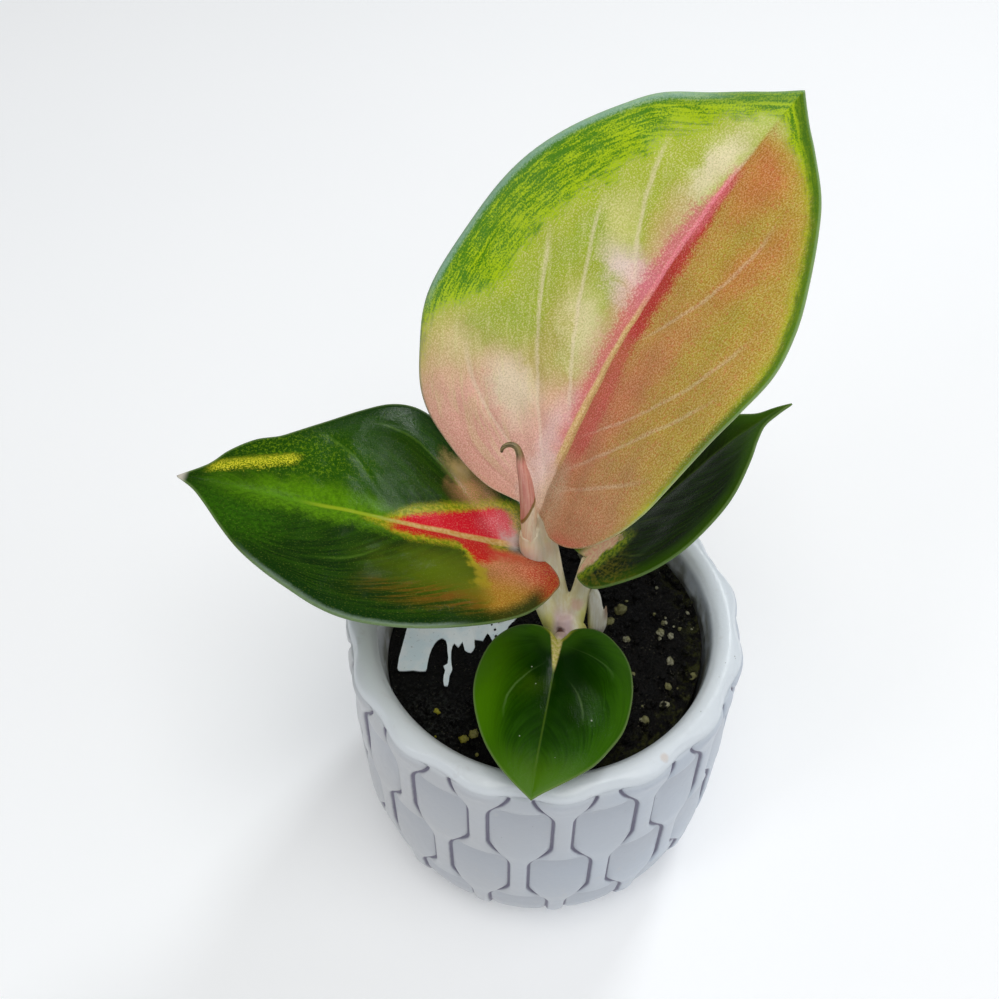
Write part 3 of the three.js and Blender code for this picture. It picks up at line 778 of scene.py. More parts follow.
blades = {
    "leaf_big": {
        "rib": [(-2.5, 4.5, 145.5), (11.5, 25.5, 180.5), (34, 48, 210), (64, 68, 238)],
        "roll": (14, -8), "fold": (17, 13), "curl": (-4, 1), "reach": 44, "wave": 0.9, "keel": 2.2,
        "spans": 190, "bars": 52, "veinPitch": 13, "veinSweep": (55, 32), "veinDepth": 0.1, "quilt": 0.1,
        "creases": [((8, -1), (40, -20), (70, -34)), ((9, -5), (20, -27), (35, -40)),
                    ((66, -4), (84, -14), (104, -20)), ((26, -2), (54, -15), (84, -26)),
                    ((25, 3), (48, 28), (72, 37.5)), ((55, 5), (75, 18), (100, 20.5)),
                    ((9, 3), (20, 25), (30, 40)), ((14, 2), (36, 27), (56, 43))],
        "creaseDepth": 0.3, "swell": 0.34,
        "left": [(0, 0), (0.4, -4), (0.2, -10), (0, -17.5), (1.7, -25.1), (6.1, -35.3), (11.1, -43.5),
                 (16.5, -48), (26.8, -51.6), (38.5, -54.8), (51.6, -55.5), (65.3, -54), (77.1, -50.3),
                 (91, -43.2), (102.3, -35.5), (109.5, -29.3), (117, -18.2), (121.6, -12), (126.9, -5),
                 (131.3, 0)],
        "right": [(0, 0), (-0.6, 4), (-2.2, 9.5), (0, 20.6), (5.6, 31.8), (13.4, 39.8), (21.1, 43.9),
                  (32.3, 46.6), (45.2, 49.2), (55.2, 50.9), (66, 51), (78.9, 46.4), (90.9, 39.8),
                  (102.7, 32.2), (110.9, 25.6), (120.1, 14.6), (124.6, 8.4), (128.7, 3.2), (131.3, 0)],
    },
    "leaf_left": {
        "rib": [(-5.8, 3.6, 130.4), (-34, -3, 148), (-68, 2.5, 154), (-102.5, 9, 156.5)],
        "roll": (-11, 7), "fold": (8, 7), "curl": (0, 1.5), "reach": 34, "wave": 0.6, "keel": 1.7,
        "spans": 160, "bars": 44, "veinPitch": 11, "veinSweep": (38, 25), "veinDepth": 0.06, "quilt": 0.03,
        "creases": [((42, -10), (50, -17), (60, -19)), ((46, 8), (58, 20), (70, 24)),
                    ((18, 14), (38, 30), (54, 32))],
        "creaseDepth": 0.16, "swell": 0.2,
        "left": [(0, 0), (-1.6, -2.6), (-5.2, -5), (-6.6, -9.5), (-5.6, -14), (-1.7, -18.3), (8.9, -28.6),
                 (21.7, -36), (32.5, -39.2), (48.4, -38.3), (56, -35.8), (64.2, -31), (70.8, -26.6),
                 (78.8, -20.3), (85.9, -13.4), (91.5, -7.6), (96.5, -3.1), (102, 0)],
        "right": [(0, 0), (-1, 3), (-2.6, 8), (-0.6, 17.2), (8, 27.5), (18, 35), (28, 40), (38, 42.1),
                  (48, 40.6), (57, 35.8), (67.6, 27.6), (74, 22.4), (78.2, 19.2), (84.3, 16.2),
                  (90.5, 10.8), (94.5, 5.6), (102, 0)],
    },
    "leaf_right": {
        "rib": [(11.6, 2.8, 127.6), (31, 8, 141), (46, 20, 158), (66.5, 23.5, 170)],
        "roll": (14, 16), "fold": (8, 9), "curl": (2, 2), "reach": 25, "wave": 0.5, "keel": 1.4,
        "spans": 130, "bars": 34, "veinPitch": 8.5, "veinSweep": (26, 18), "veinDepth": 0.06, "quilt": 0.03,
        "creases": [((18, 1), (23, 4.5), (28, 8)), ((8, 6), (13, 11.5), (18, 16))],
        "creaseDepth": 0.12, "swell": 0.16,
        "left": [(0, 0), (-1.2, -2), (-2.6, -5.5), (-1.4, -10), (3, -14.5), (9, -18.5), (17.5, -21.6),
                 (27.4, -23), (36, -22), (45.5, -18), (54, -11.8), (59.5, -6.2), (63.5, -2.9), (68, -1.5),
                 (72.6, 0)],
        "right": [(0, 0), (-2.3, 1.8), (-4.1, 4.6), (-3.6, 8.7), (-0.7, 13.4), (8.4, 18.2), (17.5, 21.6),
                  (27.4, 23.8), (36, 22.9), (46.6, 19), (55.3, 12.4), (60, 6.6), (63.6, 2.7), (68, 1.3),
                  (72.6, 0)],
    },
    "leaf_front": {
        "rib": [(3.5, -15.5, 111), (1.6, -32, 115), (-2.4, -48.5, 114.3), (-5.4, -64.6, 110)],
        "roll": (0, 0), "fold": (6, 6), "curl": (2.7, 3.6), "reach": 17, "wave": 0.2, "keel": 1.3,
        "spans": 120, "bars": 34, "veinPitch": 8, "veinSweep": (20, 15), "veinDepth": 0.04, "quilt": 0.015,
        "creases": [((15, -5), (20, -8.5), (28, -9.7)), ((2, -3), (5, -11), (12, -16)),
                    ((10, 4), (16, 9.2), (30, 11.5))],
        "creaseDepth": 0.08, "swell": 0.1,
        "left": [(0, 0), (-2.6, -1.9), (-5.2, -3.6), (-6.9, -8.6), (-5.8, -13.4), (-1, -18.3), (4, -21.2),
                 (11.1, -22.6), (18, -22.7), (25.3, -21.6), (31.7, -18.9), (37.3, -15.5), (41, -11.9),
                 (45.1, -6.9), (48.4, -2.4), (50.4, 0)],
        "right": [(0, 0), (-2.7, 1.8), (-4.9, 3.8), (-6, 8.1), (-4.9, 13.4), (-0.4, 18.4), (5.9, 21.2),
                  (13.5, 22.4), (21.7, 21.8), (29, 19.5), (36.4, 15.7), (41.9, 11.2), (46, 6.4),
                  (48.8, 2.4), (50.4, 0)],
    },
}
bladeThickness = 0.9
edgeThickness = 0.62
ribGroove = 0.2
creaseWidth = 1.2


class Blade:
    def __init__(self, spec):
        self.spec = spec
        p0, p1, p2, p3 = np.array(spec["rib"], float)
        t = np.linspace(0, 1, 600)[:, None]
        self.line = p0 * (1 - t) ** 3 + 3 * p1 * t * (1 - t) ** 2 + 3 * p2 * t ** 2 * (1 - t) + p3 * t ** 3
        self.slope = 3 * ((p1 - p0) * (1 - t) ** 2 + 2 * (p2 - p1) * t * (1 - t) + (p3 - p2) * t ** 2)
        self.slope /= np.linalg.norm(self.slope, axis=1)[:, None]
        steps = np.linalg.norm(np.diff(self.line, axis=0), axis=1)
        self.run = np.concatenate([[0], np.cumsum(steps)])
        self.length = self.run[-1]
        chord = p3 - p0
        self.level = np.array([chord[1], -chord[0], 0]) / math.hypot(chord[0], chord[1])

    def pick(self, table, s):
        return np.stack([np.interp(s, self.run, table[:, c]) for c in range(3)], -1)

    def at(self, s, v, lift):
        # points at s along and v across, raised off the blade by lift
        spec = self.spec
        s, v, lift = [np.asarray(a, float) for a in (s, v, lift)]
        held = np.clip(s, 0, self.length)
        q = held / self.length
        along = self.pick(self.slope, held)
        along /= np.linalg.norm(along, axis=1)[:, None]
        origin = self.pick(self.line, held) + along * (s - held)[:, None]
        side = self.level - along * (along @ self.level)[:, None]
        side /= np.linalg.norm(side, axis=1)[:, None]
        up = np.cross(side, along)
        roll = np.radians(mixed(*spec["roll"], q))[:, None]
        across = np.cos(roll) * side + np.sin(roll) * up
        up = np.cross(across, along)
        fold = np.radians(mixed(*spec["fold"], q))
        out = np.abs(v) / spec["reach"]
        turns = np.where(v > 0, 2.1 + q * math.pi * 4.4, 3.7 + q * math.pi * 5)
        ripple = spec["wave"] * out ** 2 * np.sin(turns)
        height = np.abs(v) * np.sin(fold) - mixed(*spec["curl"], q) * out ** 2 + ripple + lift
        return origin + across * (v * np.cos(fold))[:, None] + up * height[:, None]

    def veins(self, s, v, margins):
        # number of the side vein through each point, counted from the base; below the first, a fan
        numbers = np.zeros_like(s)
        for sign in (-1, 1):
            here = (np.sign(v) == sign) | ((v == 0) & (sign > 0))
            margin = margins[sign]
            turnBack = int(np.argmin(margin[:, 0]))
            outerS, outerV = margin[turnBack:, 0], np.abs(margin[turnBack:, 1])
            early, late = self.spec["veinSweep"]

            def order(sAt, vAt):
                width = np.maximum(np.interp(sAt, outerS, outerV), 0.5)
                ratio = np.log(1 - np.clip(vAt / width, 0, 0.985))
                number = sAt + early * ratio
                for _ in range(6):
                    sweep = mixed(early, late, np.clip(number / (0.7 * self.length), 0, 1))
                    number = sAt + sweep * ratio
                return number

            reach = np.linspace(0, np.abs(margin[:, 1]).max(), 60)
            low = np.full(60, margin[:, 0].min())
            high = np.full(60, self.length)
            for _ in range(24):
                middle = (low + high) / 2
                above = order(middle, reach) > 0
                high = np.where(above, middle, high)
                low = np.where(above, low, middle)
            sHere, vHere = s[here], np.abs(v[here])
            q = order(sHere, vHere)
            # below the first vein: spokes from the base, which turn to run with the margin
            first = np.arctan2(np.interp(vHere, reach, high), np.maximum(vHere, 0.1))
            spoke = -3 * (1 - np.clip(np.arctan2(sHere, vHere) / np.maximum(first, 0.1), -1, 1))
            share = vHere / np.maximum(np.interp(sHere, outerS, outerV), 0.5)
            firstShare = 1 - np.exp(-np.maximum(sHere, 0) / early)
            beside = -3 * np.clip((share - firstShare) / (1.001 - firstShare), 0, 1)
            fan = mixed(spoke, beside, smooth(10, 42, np.hypot(sHere, vHere)))
            numbers[here] = np.where(q > 0, q / self.spec["veinPitch"], fan)
        return numbers


def bowThrough(points):
    # v = (bend s + slope) s + start through three points s, v, and its steepness
    (s0, v0), (s1, v1), (s2, v2) = points
    bend = ((v2 - v0) / (s2 - s0) - (v1 - v0) / (s1 - s0)) / (s2 - s1)
    slope = (v1 - v0) / (s1 - s0) - bend * (s1 + s0)
    return bend, slope, v0 - slope * s0 - bend * s0 * s0, math.hypot(1, (v2 - v0) / (s2 - s0))


def makeBlade(name, paint):
    spec = blades[name]
    blade = Blade(spec)
    spans, bars = spec["spans"], spec["bars"]
    margins = {}
    for sign, key in ((-1, "left"), (1, "right")):
        samples = throughPoints([(s, v, 0) for s, v in spec[key]], 40)
        margins[sign] = alongLength(samples, spans + 1)[:, :2]
    a = np.arange(1, spans) / spans
    anchor = blade.length * a ** 1.7
    t = (np.arange(-bars, bars + 1) / bars)[None, :]
    across = np.abs(t) ** 1.25
    left, right = margins[-1][1:-1], margins[1][1:-1]
    edgeS = np.where(t < 0, left[:, :1], right[:, :1])
    edgeV = np.where(t < 0, left[:, 1:], right[:, 1:])
    s = mixed(anchor[:, None], edgeS, across ** 1.25).ravel()
    v = (edgeV * across).ravel()
    edge = np.tile((np.abs(t) == 1).ravel(), spans - 1)
    rowA = np.repeat(a, 2 * bars + 1)
    # the two ends of the midrib close the grid
    s = np.concatenate([s, [0, blade.length]])
    v = np.concatenate([v, [0, 0]])
    edge = np.concatenate([edge, [True, True]])
    rowA = np.concatenate([rowA, [0, 1]])
    outline = np.vstack([margins[-1], margins[1]])
    rim = np.full(len(s), 1e9)
    for k in range(0, len(outline), 40):
        block = outline[k:k + 40]
        rim = np.minimum(rim, np.hypot(s[:, None] - block[:, 0], v[:, None] - block[:, 1]).min(1))
    rim[edge] = 0
    number = blade.veins(s, v, margins)
    nearVein = np.abs(number - np.round(number)) * spec["veinPitch"] * 0.75
    ripe = smooth(0, 5, rim) * smooth(1.5, 5, np.abs(v)) * (1 - smooth(0.86, 0.98, s / blade.length))
    quilt = spec["quilt"] * 0.5 * (1 - np.cos(2 * math.pi * number))
    upperRelief = (quilt - spec["veinDepth"] * np.exp(-(nearVein / 0.55) ** 2)) * ripe
    crease = np.zeros(len(s))
    for points in spec["creases"]:
        bend, slope, start, steep = bowThrough(points)
        gap = np.abs(v - (bend * s + slope) * s - start) / steep
        begin, stop = points[0][0], points[2][0]
        shown = smooth(begin - 3, begin + 6, s) * (1 - smooth(stop - 8, stop + 2, s))
        crease += np.exp(-(gap / creaseWidth) ** 2) * shown
    upperRelief -= spec["creaseDepth"] * crease * smooth(1, 5, rim)
    away = 1 - smooth(0.75, 1.0, s / blade.length)
    groove = ribGroove * np.exp(-(v / (1.3 * away + 0.3)) ** 2) * (0.35 + 0.65 * away) * smooth(0, 4, rim)
    swell = np.sin(0.21 * s + 0.13 * v) * np.sin(0.17 * v - 0.05 * s + 1.0)
    swell = swell + 0.6 * np.sin(0.4 * s + 0.31 * np.abs(v) + 2) * np.sin(0.36 * np.abs(v) - 0.24 * s)
    swell = spec["swell"] * swell * smooth(2, 9, rim)
    half = np.where(edge, edgeThickness, bladeThickness) / 2
    half = half + (1 - smooth(0, 1.5, rim)) * (edgeThickness - bladeThickness) / 2 * ~edge
    top = blade.at(s, v, half + upperRelief - groove + swell)
    keelShape = np.exp(-(v / (0.9 + 1.2 * away)) ** 2)
    keel = spec["keel"] * (1 - 0.85 * s / blade.length) * smooth(0, 0.05, rowA) * keelShape
    underRelief = (quilt + 0.8 * spec["veinDepth"] * np.exp(-(nearVein / 0.5) ** 2)) * ripe * 0.8
    under = blade.at(s, v, -half - np.maximum(keel - 0.1, 0) * ~edge - underRelief * 0.5 + swell)
    columns = 2 * bars + 1
    count = len(s)
    faces = []
    for i in range(spans - 2):
        for c in range(2 * bars):
            p = i * columns + c
            faces.append([p, p + 1, p + columns + 1, p + columns])
    start, end = count - 2, count - 1
    last = (spans - 2) * columns
    for c in range(2 * bars):
        faces.append([start, c + 1, c])
        faces.append([end, last + c, last + c + 1])
    faces += [[i + count for i in face[::-1]] for face in faces]
    border = [start] + [i * columns for i in range(spans - 1)] + [end]
    border += [i * columns + columns - 1 for i in range(spans - 2, -1, -1)]
    for p, q in zip(border, border[1:] + border[:1]):
        faces.append([p, q, q + count, p + count])
    mesh = newMesh(name + "Blade", np.vstack([top, under]), faces)
    storeVector(mesh, "leafPlace", np.tile(np.stack([s, v, number], -1), (2, 1)))
    sideFlag = np.repeat([1.0, 0.0], count)
    storeVector(mesh, "leafEdge", np.stack([np.tile(rim, 2), sideFlag, np.zeros(2 * count)], -1))
    placePiece(name + "Blade", mesh, paint, [name])


class LeafPaint(Paint):
    # s runs along the midrib and v across it, in millimetres; n counts side veins;
    # rim is the way to the margin
    def __init__(self, name, shader):
        super().__init__(name, shader)
        self.s, self.v, self.n = self.split(self.attribute("leafPlace"))
        self.rim, self.upper, _ = self.split(self.attribute("leafEdge"))
        self.flat = self.joined(self.s, self.v)
        self.slow = self.cloud(self.flat, 0.07, 3.0) - 0.5
        self.drift = self.cloud(self.joined(self.v, self.s, 7.0), 0.2, 4.0, 0.6) - 0.5
        self.fine = self.cloud(self.flat, 0.9, 3.0, 0.6)
        self.grain = self.cloud(self.joined(self.s, self.v, 21.0), 2.1, 2.0, 0.75)
        # crumbly edge for the patches of pigment
        self.ragged = (self.grain - 0.5) * 8.0 + (self.fine - 0.5) * 6.0
        # streaks that follow the side veins
        self.streak = self.cloud(self.joined(self.n * 5.0, self.s * 0.09, self.v * 0.02), 1.0, 3.0, 0.6)
        self.sw = self.s + self.slow * 12.0 + self.drift * 8.0 + self.ragged * 0.5
        self.vw = self.v + self.drift * 7.0 + self.slow * 4.0 + self.ragged * 0.4

    def blob(self, s, v, alongSize, acrossSize, soft=0.5, lean=0.0):
        # a soft patch; lean tilts it along the veins
        ds = (self.sw - s - (self.vw - v) * lean) / alongSize
        dv = (self.vw - v) / acrossSize
        return ((ds * ds + dv * dv) ** 0.5).fall(1 - soft, 1 + soft)

    def stroke(self, points, width):
        bend, slope, start, steep = bowThrough(points)
        away = self.v + self.drift * 1.2 - (self.s * bend + slope) * self.s - start
        s0, s2 = points[0][0], points[-1][0]
        return (abs(away) / steep).fall(width * 0.15, width) * self.s.within(s0 + 3, s2 - 4, 5.0)

    def creaseLines(self, name, width):
        # the few side veins that show as soft lines
        lines = 0.0
        for points in blades[name]["creases"]:
            lines = self.stroke(points, width) + lines
        return lines * (0.5 + self.fine)

    def finishWith(self, colour, pale, roughness=0.34):
        # the underside is a duller, paler shade
        dull = self.mix(0.45, colour, pale)
        self.put("Base Color", self.mix(self.upper, dull, colour))
        self.put("Roughness", roughness + (self.fine - 0.5) * 0.2 + self.upper.fall(0.2, 0.8) * 0.2)
        height = self.grain * 0.5 + self.fine * 0.5
        self.put("Normal", self.bump(height, 0.3, 0.0004))


def bigLeafPaint():
    paint = LeafPaint("pinkLimeBlade", {"Specular IOR Level": 0.18})
    s, v, rim = paint.s, paint.v, paint.rim
    sw, vw, fine, grain, streak = paint.sw, paint.vw, paint.fine, paint.grain, paint.streak
    ragged, drift = paint.ragged, paint.drift
    right = (v + drift).rise(-0.6, 0.6)
    left = 1 - right
    # right half: salmon below, tan and olive above, in bands along the veins
    rightBase = paint.layers(
        paint.mix(sw.rise(0.0, 45.0), tint(186, 134, 94), tint(182, 150, 64)),
        (sw.rise(60.0, 110.0) * 0.6, tint(184, 150, 50)),
        (streak.rise(0.42, 0.62) * vw.rise(6.0, 20.0) * sw.rise(15.0, 45.0) * 0.55, tint(172, 156, 48)),
        (paint.blob(70, 28, 14, 7, 0.7, 0.6) * 0.7, tint(168, 162, 44)),
        (paint.blob(92, 17, 14, 6, 0.7, 0.8) * 0.7, tint(172, 162, 48)),
        (paint.blob(38, 40, 16, 6, 0.7) * 0.65, tint(174, 158, 52)),
        (paint.blob(110, 9, 12, 8, 0.8) * 0.8, tint(196, 116, 58)),
        (paint.blob(84, 22, 9, 5, 0.8) * 0.6, tint(196, 118, 62)),
        (paint.blob(98, 27, 9, 5, 0.8) * 0.5, tint(192, 116, 60)),
        (paint.blob(55, 16, 13, 8, 0.8, 0.8) * 0.5, tint(194, 124, 78)),
        (paint.blob(34, 11, 16, 8, 0.8, 0.8) * 0.6, tint(198, 106, 88)),
        (rim.fall(0.5, 5.0) * v.rise(8.0, 16.0) * s.fall(1.0, 9.0) * 0.7, tint(200, 104, 82)),
    )
    crimsonWidth = 5.6 + s.within(18.0, 46.0, 8.0) * 3.0 - s.rise(74.0, 104.0) * 4.0
    crimson = (v + ragged * 0.75 + drift * 5.0 - crimsonWidth).fall(-1.8, 2.2) * s.rise(10.0, 26.0)
    strength = (0.5 + grain * 0.45 + s.rise(50.0, 62.0) * 0.4).least(0.97)
    crimson = crimson * (s + ragged).fall(100.0, 110.0) * strength
    crimsonTone = paint.mix(sw.rise(46.0, 62.0), tint(198, 66, 76), tint(180, 10, 38))
    rightHalf = paint.mix(crimson, rightBase, crimsonTone)
    # left half: peach and pink below, lime and cream between
    leftBase = paint.layers(
        paint.mix(sw.rise(22.0, 50.0), tint(228, 174, 150), tint(154, 178, 30)),
        (sw.rise(80.0, 100.0) * 0.75, tint(174, 196, 66)),
        (paint.blob(6, -30, 9, 14, 0.9) * 0.5, tint(200, 134, 116)),
        (paint.blob(31, -42, 7, 7, 0.9) * 0.7, tint(206, 202, 128)),
        (paint.blob(14, -14, 9, 9, 0.9) * 0.5, tint(214, 170, 154)),
        (paint.blob(49, -36, 12, 12, 0.6) * 0.9, tint(148, 176, 30)),
        (paint.blob(62, -28, 14, 5, 0.7, -0.9) * 0.8, tint(156, 178, 44)),
        (paint.blob(78, -24, 12, 5, 0.7, -0.5) * 0.8, tint(148, 178, 40)),
        (paint.blob(94, -14, 12, 4, 0.7, -0.5) * 0.7, tint(160, 180, 44)),
        (paint.blob(46, -18, 14, 5, 0.7, -0.9) * 0.6, tint(176, 168, 76)),
        (paint.blob(51, -11, 7, 7, 0.8, -0.5) * 0.8, tint(224, 218, 160)),
        # painted sheen: the cream patch at s 28, v -22 stands for a highlight
        (paint.blob(28, -22, 7, 8, 0.7, -0.3) * 0.85, tint(224, 214, 176)),
        (paint.blob(80, -17, 6, 7, 0.7, -0.75) * 0.6, tint(214, 214, 130)),
        (paint.blob(68, -7, 6, 9, 0.7, -0.3) * 0.9, tint(230, 210, 196)),
        (paint.blob(88, -7, 9, 4, 0.8, -0.5) * 0.5, tint(200, 164, 102)),
        (paint.blob(106, -5, 14, 4, 0.7, -0.25) * 0.85, tint(226, 220, 172)),
        (streak.rise(0.5, 0.66) * (-v).rise(8.0, 20.0) * 0.25, tint(222, 222, 150)),
    )
    stripeWidth = 3.6 - s.rise(84.0, 106.0) * 3.0
    stripe = ((-v) + ragged * 0.7 + drift * 4.0 - stripeWidth).fall(-1.6, 1.8) * s.rise(14.0, 28.0)
    stripe = stripe * (s + ragged).fall(102.0, 110.0) * (0.5 + grain * 0.6).least(0.95)
    haze = ((-v) + ragged * 0.6 + drift * 4.0 - 7.5).fall(-3.5, 3.0) * sw.within(16.0, 88.0, 8.0)
    pinkTone = paint.mix(sw.rise(58.0, 70.0), tint(206, 84, 96), tint(208, 84, 112))
    leftHalf = paint.layers(leftBase, (haze * 0.5, tint(220, 150, 142)), (stripe, pinkTone))
    body = paint.mix(right, leftHalf, rightHalf)
    # green mottled margin, wide on the left, where it breaks up in rows along the edge
    bandLeft = 3.0 + s.rise(30.0, 52.0) * 16.0 - s.rise(84.0, 118.0) * 11.0
    bandRight = 2.4 + s.rise(40.0, 66.0) * 2.0 + s.rise(108.0, 124.0) * 4.0
    band = bandLeft * left + bandRight * right
    inward = rim + (drift * 9.0 + ragged * 0.7) * (band / 20.0 + 0.25) - band
    shown = (s.rise(8.0, 34.0) * left + right * s.rise(4.0, 26.0)).least(1.0)
    green = inward.fall(-4.0, 1.5) * shown
    rows = paint.cloud(paint.joined(rim * 1.1, s * 0.16, 3.0), 1.0, 3.0, 0.7)
    mottle = ((rows - 0.5) * 3.2 + (grain - 0.5) * 3.0 + 0.5 - inward * 0.03).rise(0.3, 1.15)
    greenTone = paint.mix(mottle, tint(166, 196, 6), tint(66, 124, 0))
    limeEdge = inward.within(-3.0, 3.5, 3.0) * s.rise(10.0, 40.0)
    # painted highlight: a pale bluish glint along the left margin
    paintedGloss = (rim + ragged * 0.3).fall(0.8, 2.4) * left * s.rise(32.0, 46.0) * s.fall(112.0, 122.0)
    coloured = paint.layers(
        body,
        (limeEdge * 0.6, paint.mix(right, tint(168, 188, 40), tint(182, 172, 54))),
        ((s + drift * 8.0).rise(114.0, 122.0) * 0.7, tint(196, 212, 120)),
        (s.rise(123.0, 129.0) * 0.7, tint(146, 184, 44)),
        (green * 0.95, greenTone),
        ((rim + ragged * 0.4).fall(1.4, 3.8) * right * s.rise(20.0, 44.0) * 0.85, tint(66, 104, 18)),
        (rim.fall(1.6, 4.0) * left * s.rise(30.0, 44.0) * 0.5, tint(70, 122, 40)),
        # painted highlight along the left margin
        (paintedGloss * (0.3 + fine * 0.5), tint(160, 196, 178)),
        (rim.fall(0.1, 0.8) * 0.4, tint(150, 180, 130)),
    )
    # midrib, a few soft side veins and the pale fan at the base
    ribWidth = 1.5 - s.rise(20.0, 62.0) * 0.75 - s.rise(80.0, 106.0) * 0.3
    rib = (abs(v + drift * 0.6) - ribWidth).fall(-0.35, 0.4) * s.rise(12.0, 20.0)
    ribColour = paint.layers(
        paint.mix(fine.rise(0.4, 0.6), tint(214, 194, 116), tint(204, 172, 104)),
        (s.rise(58.0, 72.0), tint(232, 128, 138)),
        (s.rise(100.0, 112.0), tint(196, 196, 140)),
    )
    pale = paint.creaseLines("leaf_big", 0.95)
    veined = paint.layers(
        coloured,
        (pale * rim.rise(3.0, 10.0) * (0.24 + left * 0.16), tint(236, 222, 186)),
        (v.within(-0.6, 2.4, 0.8) * s.within(84.0, 104.0, 5.0) * 0.75, tint(216, 100, 110)),
        (paint.blob(5, 1, 11, 7, 0.9) * 0.7, tint(196, 184, 146)),
        (paint.blob(16, -5, 13, 3.5, 0.9, -0.5) * 0.65, tint(228, 206, 196)),
        (rib * s.fall(104.0, 116.0) * 0.85, ribColour),
    )
    # fine speckle of pigment over everything
    bare = 1 - green
    speckled = paint.layers(
        veined,
        (grain.rise(0.5, 0.62) * bare * (0.2 + left * 0.14), tint(248, 228, 186)),
        (grain.fall(0.38, 0.52) * right * bare * 0.6, tint(150, 88, 36)),
        (grain.fall(0.38, 0.5) * left * bare * 0.3, tint(150, 130, 50)),
        (fine.fall(0.34, 0.46) * right * bare * 0.35, tint(196, 92, 68)),
    )
    # the whole blade a little lighter
    lively = paint.mix(1.0, speckled, (1.22, 1.16, 1.28, 1.0), "MULTIPLY")
    paint.finishWith(lively, tint(196, 196, 150), 0.34)
    return paint


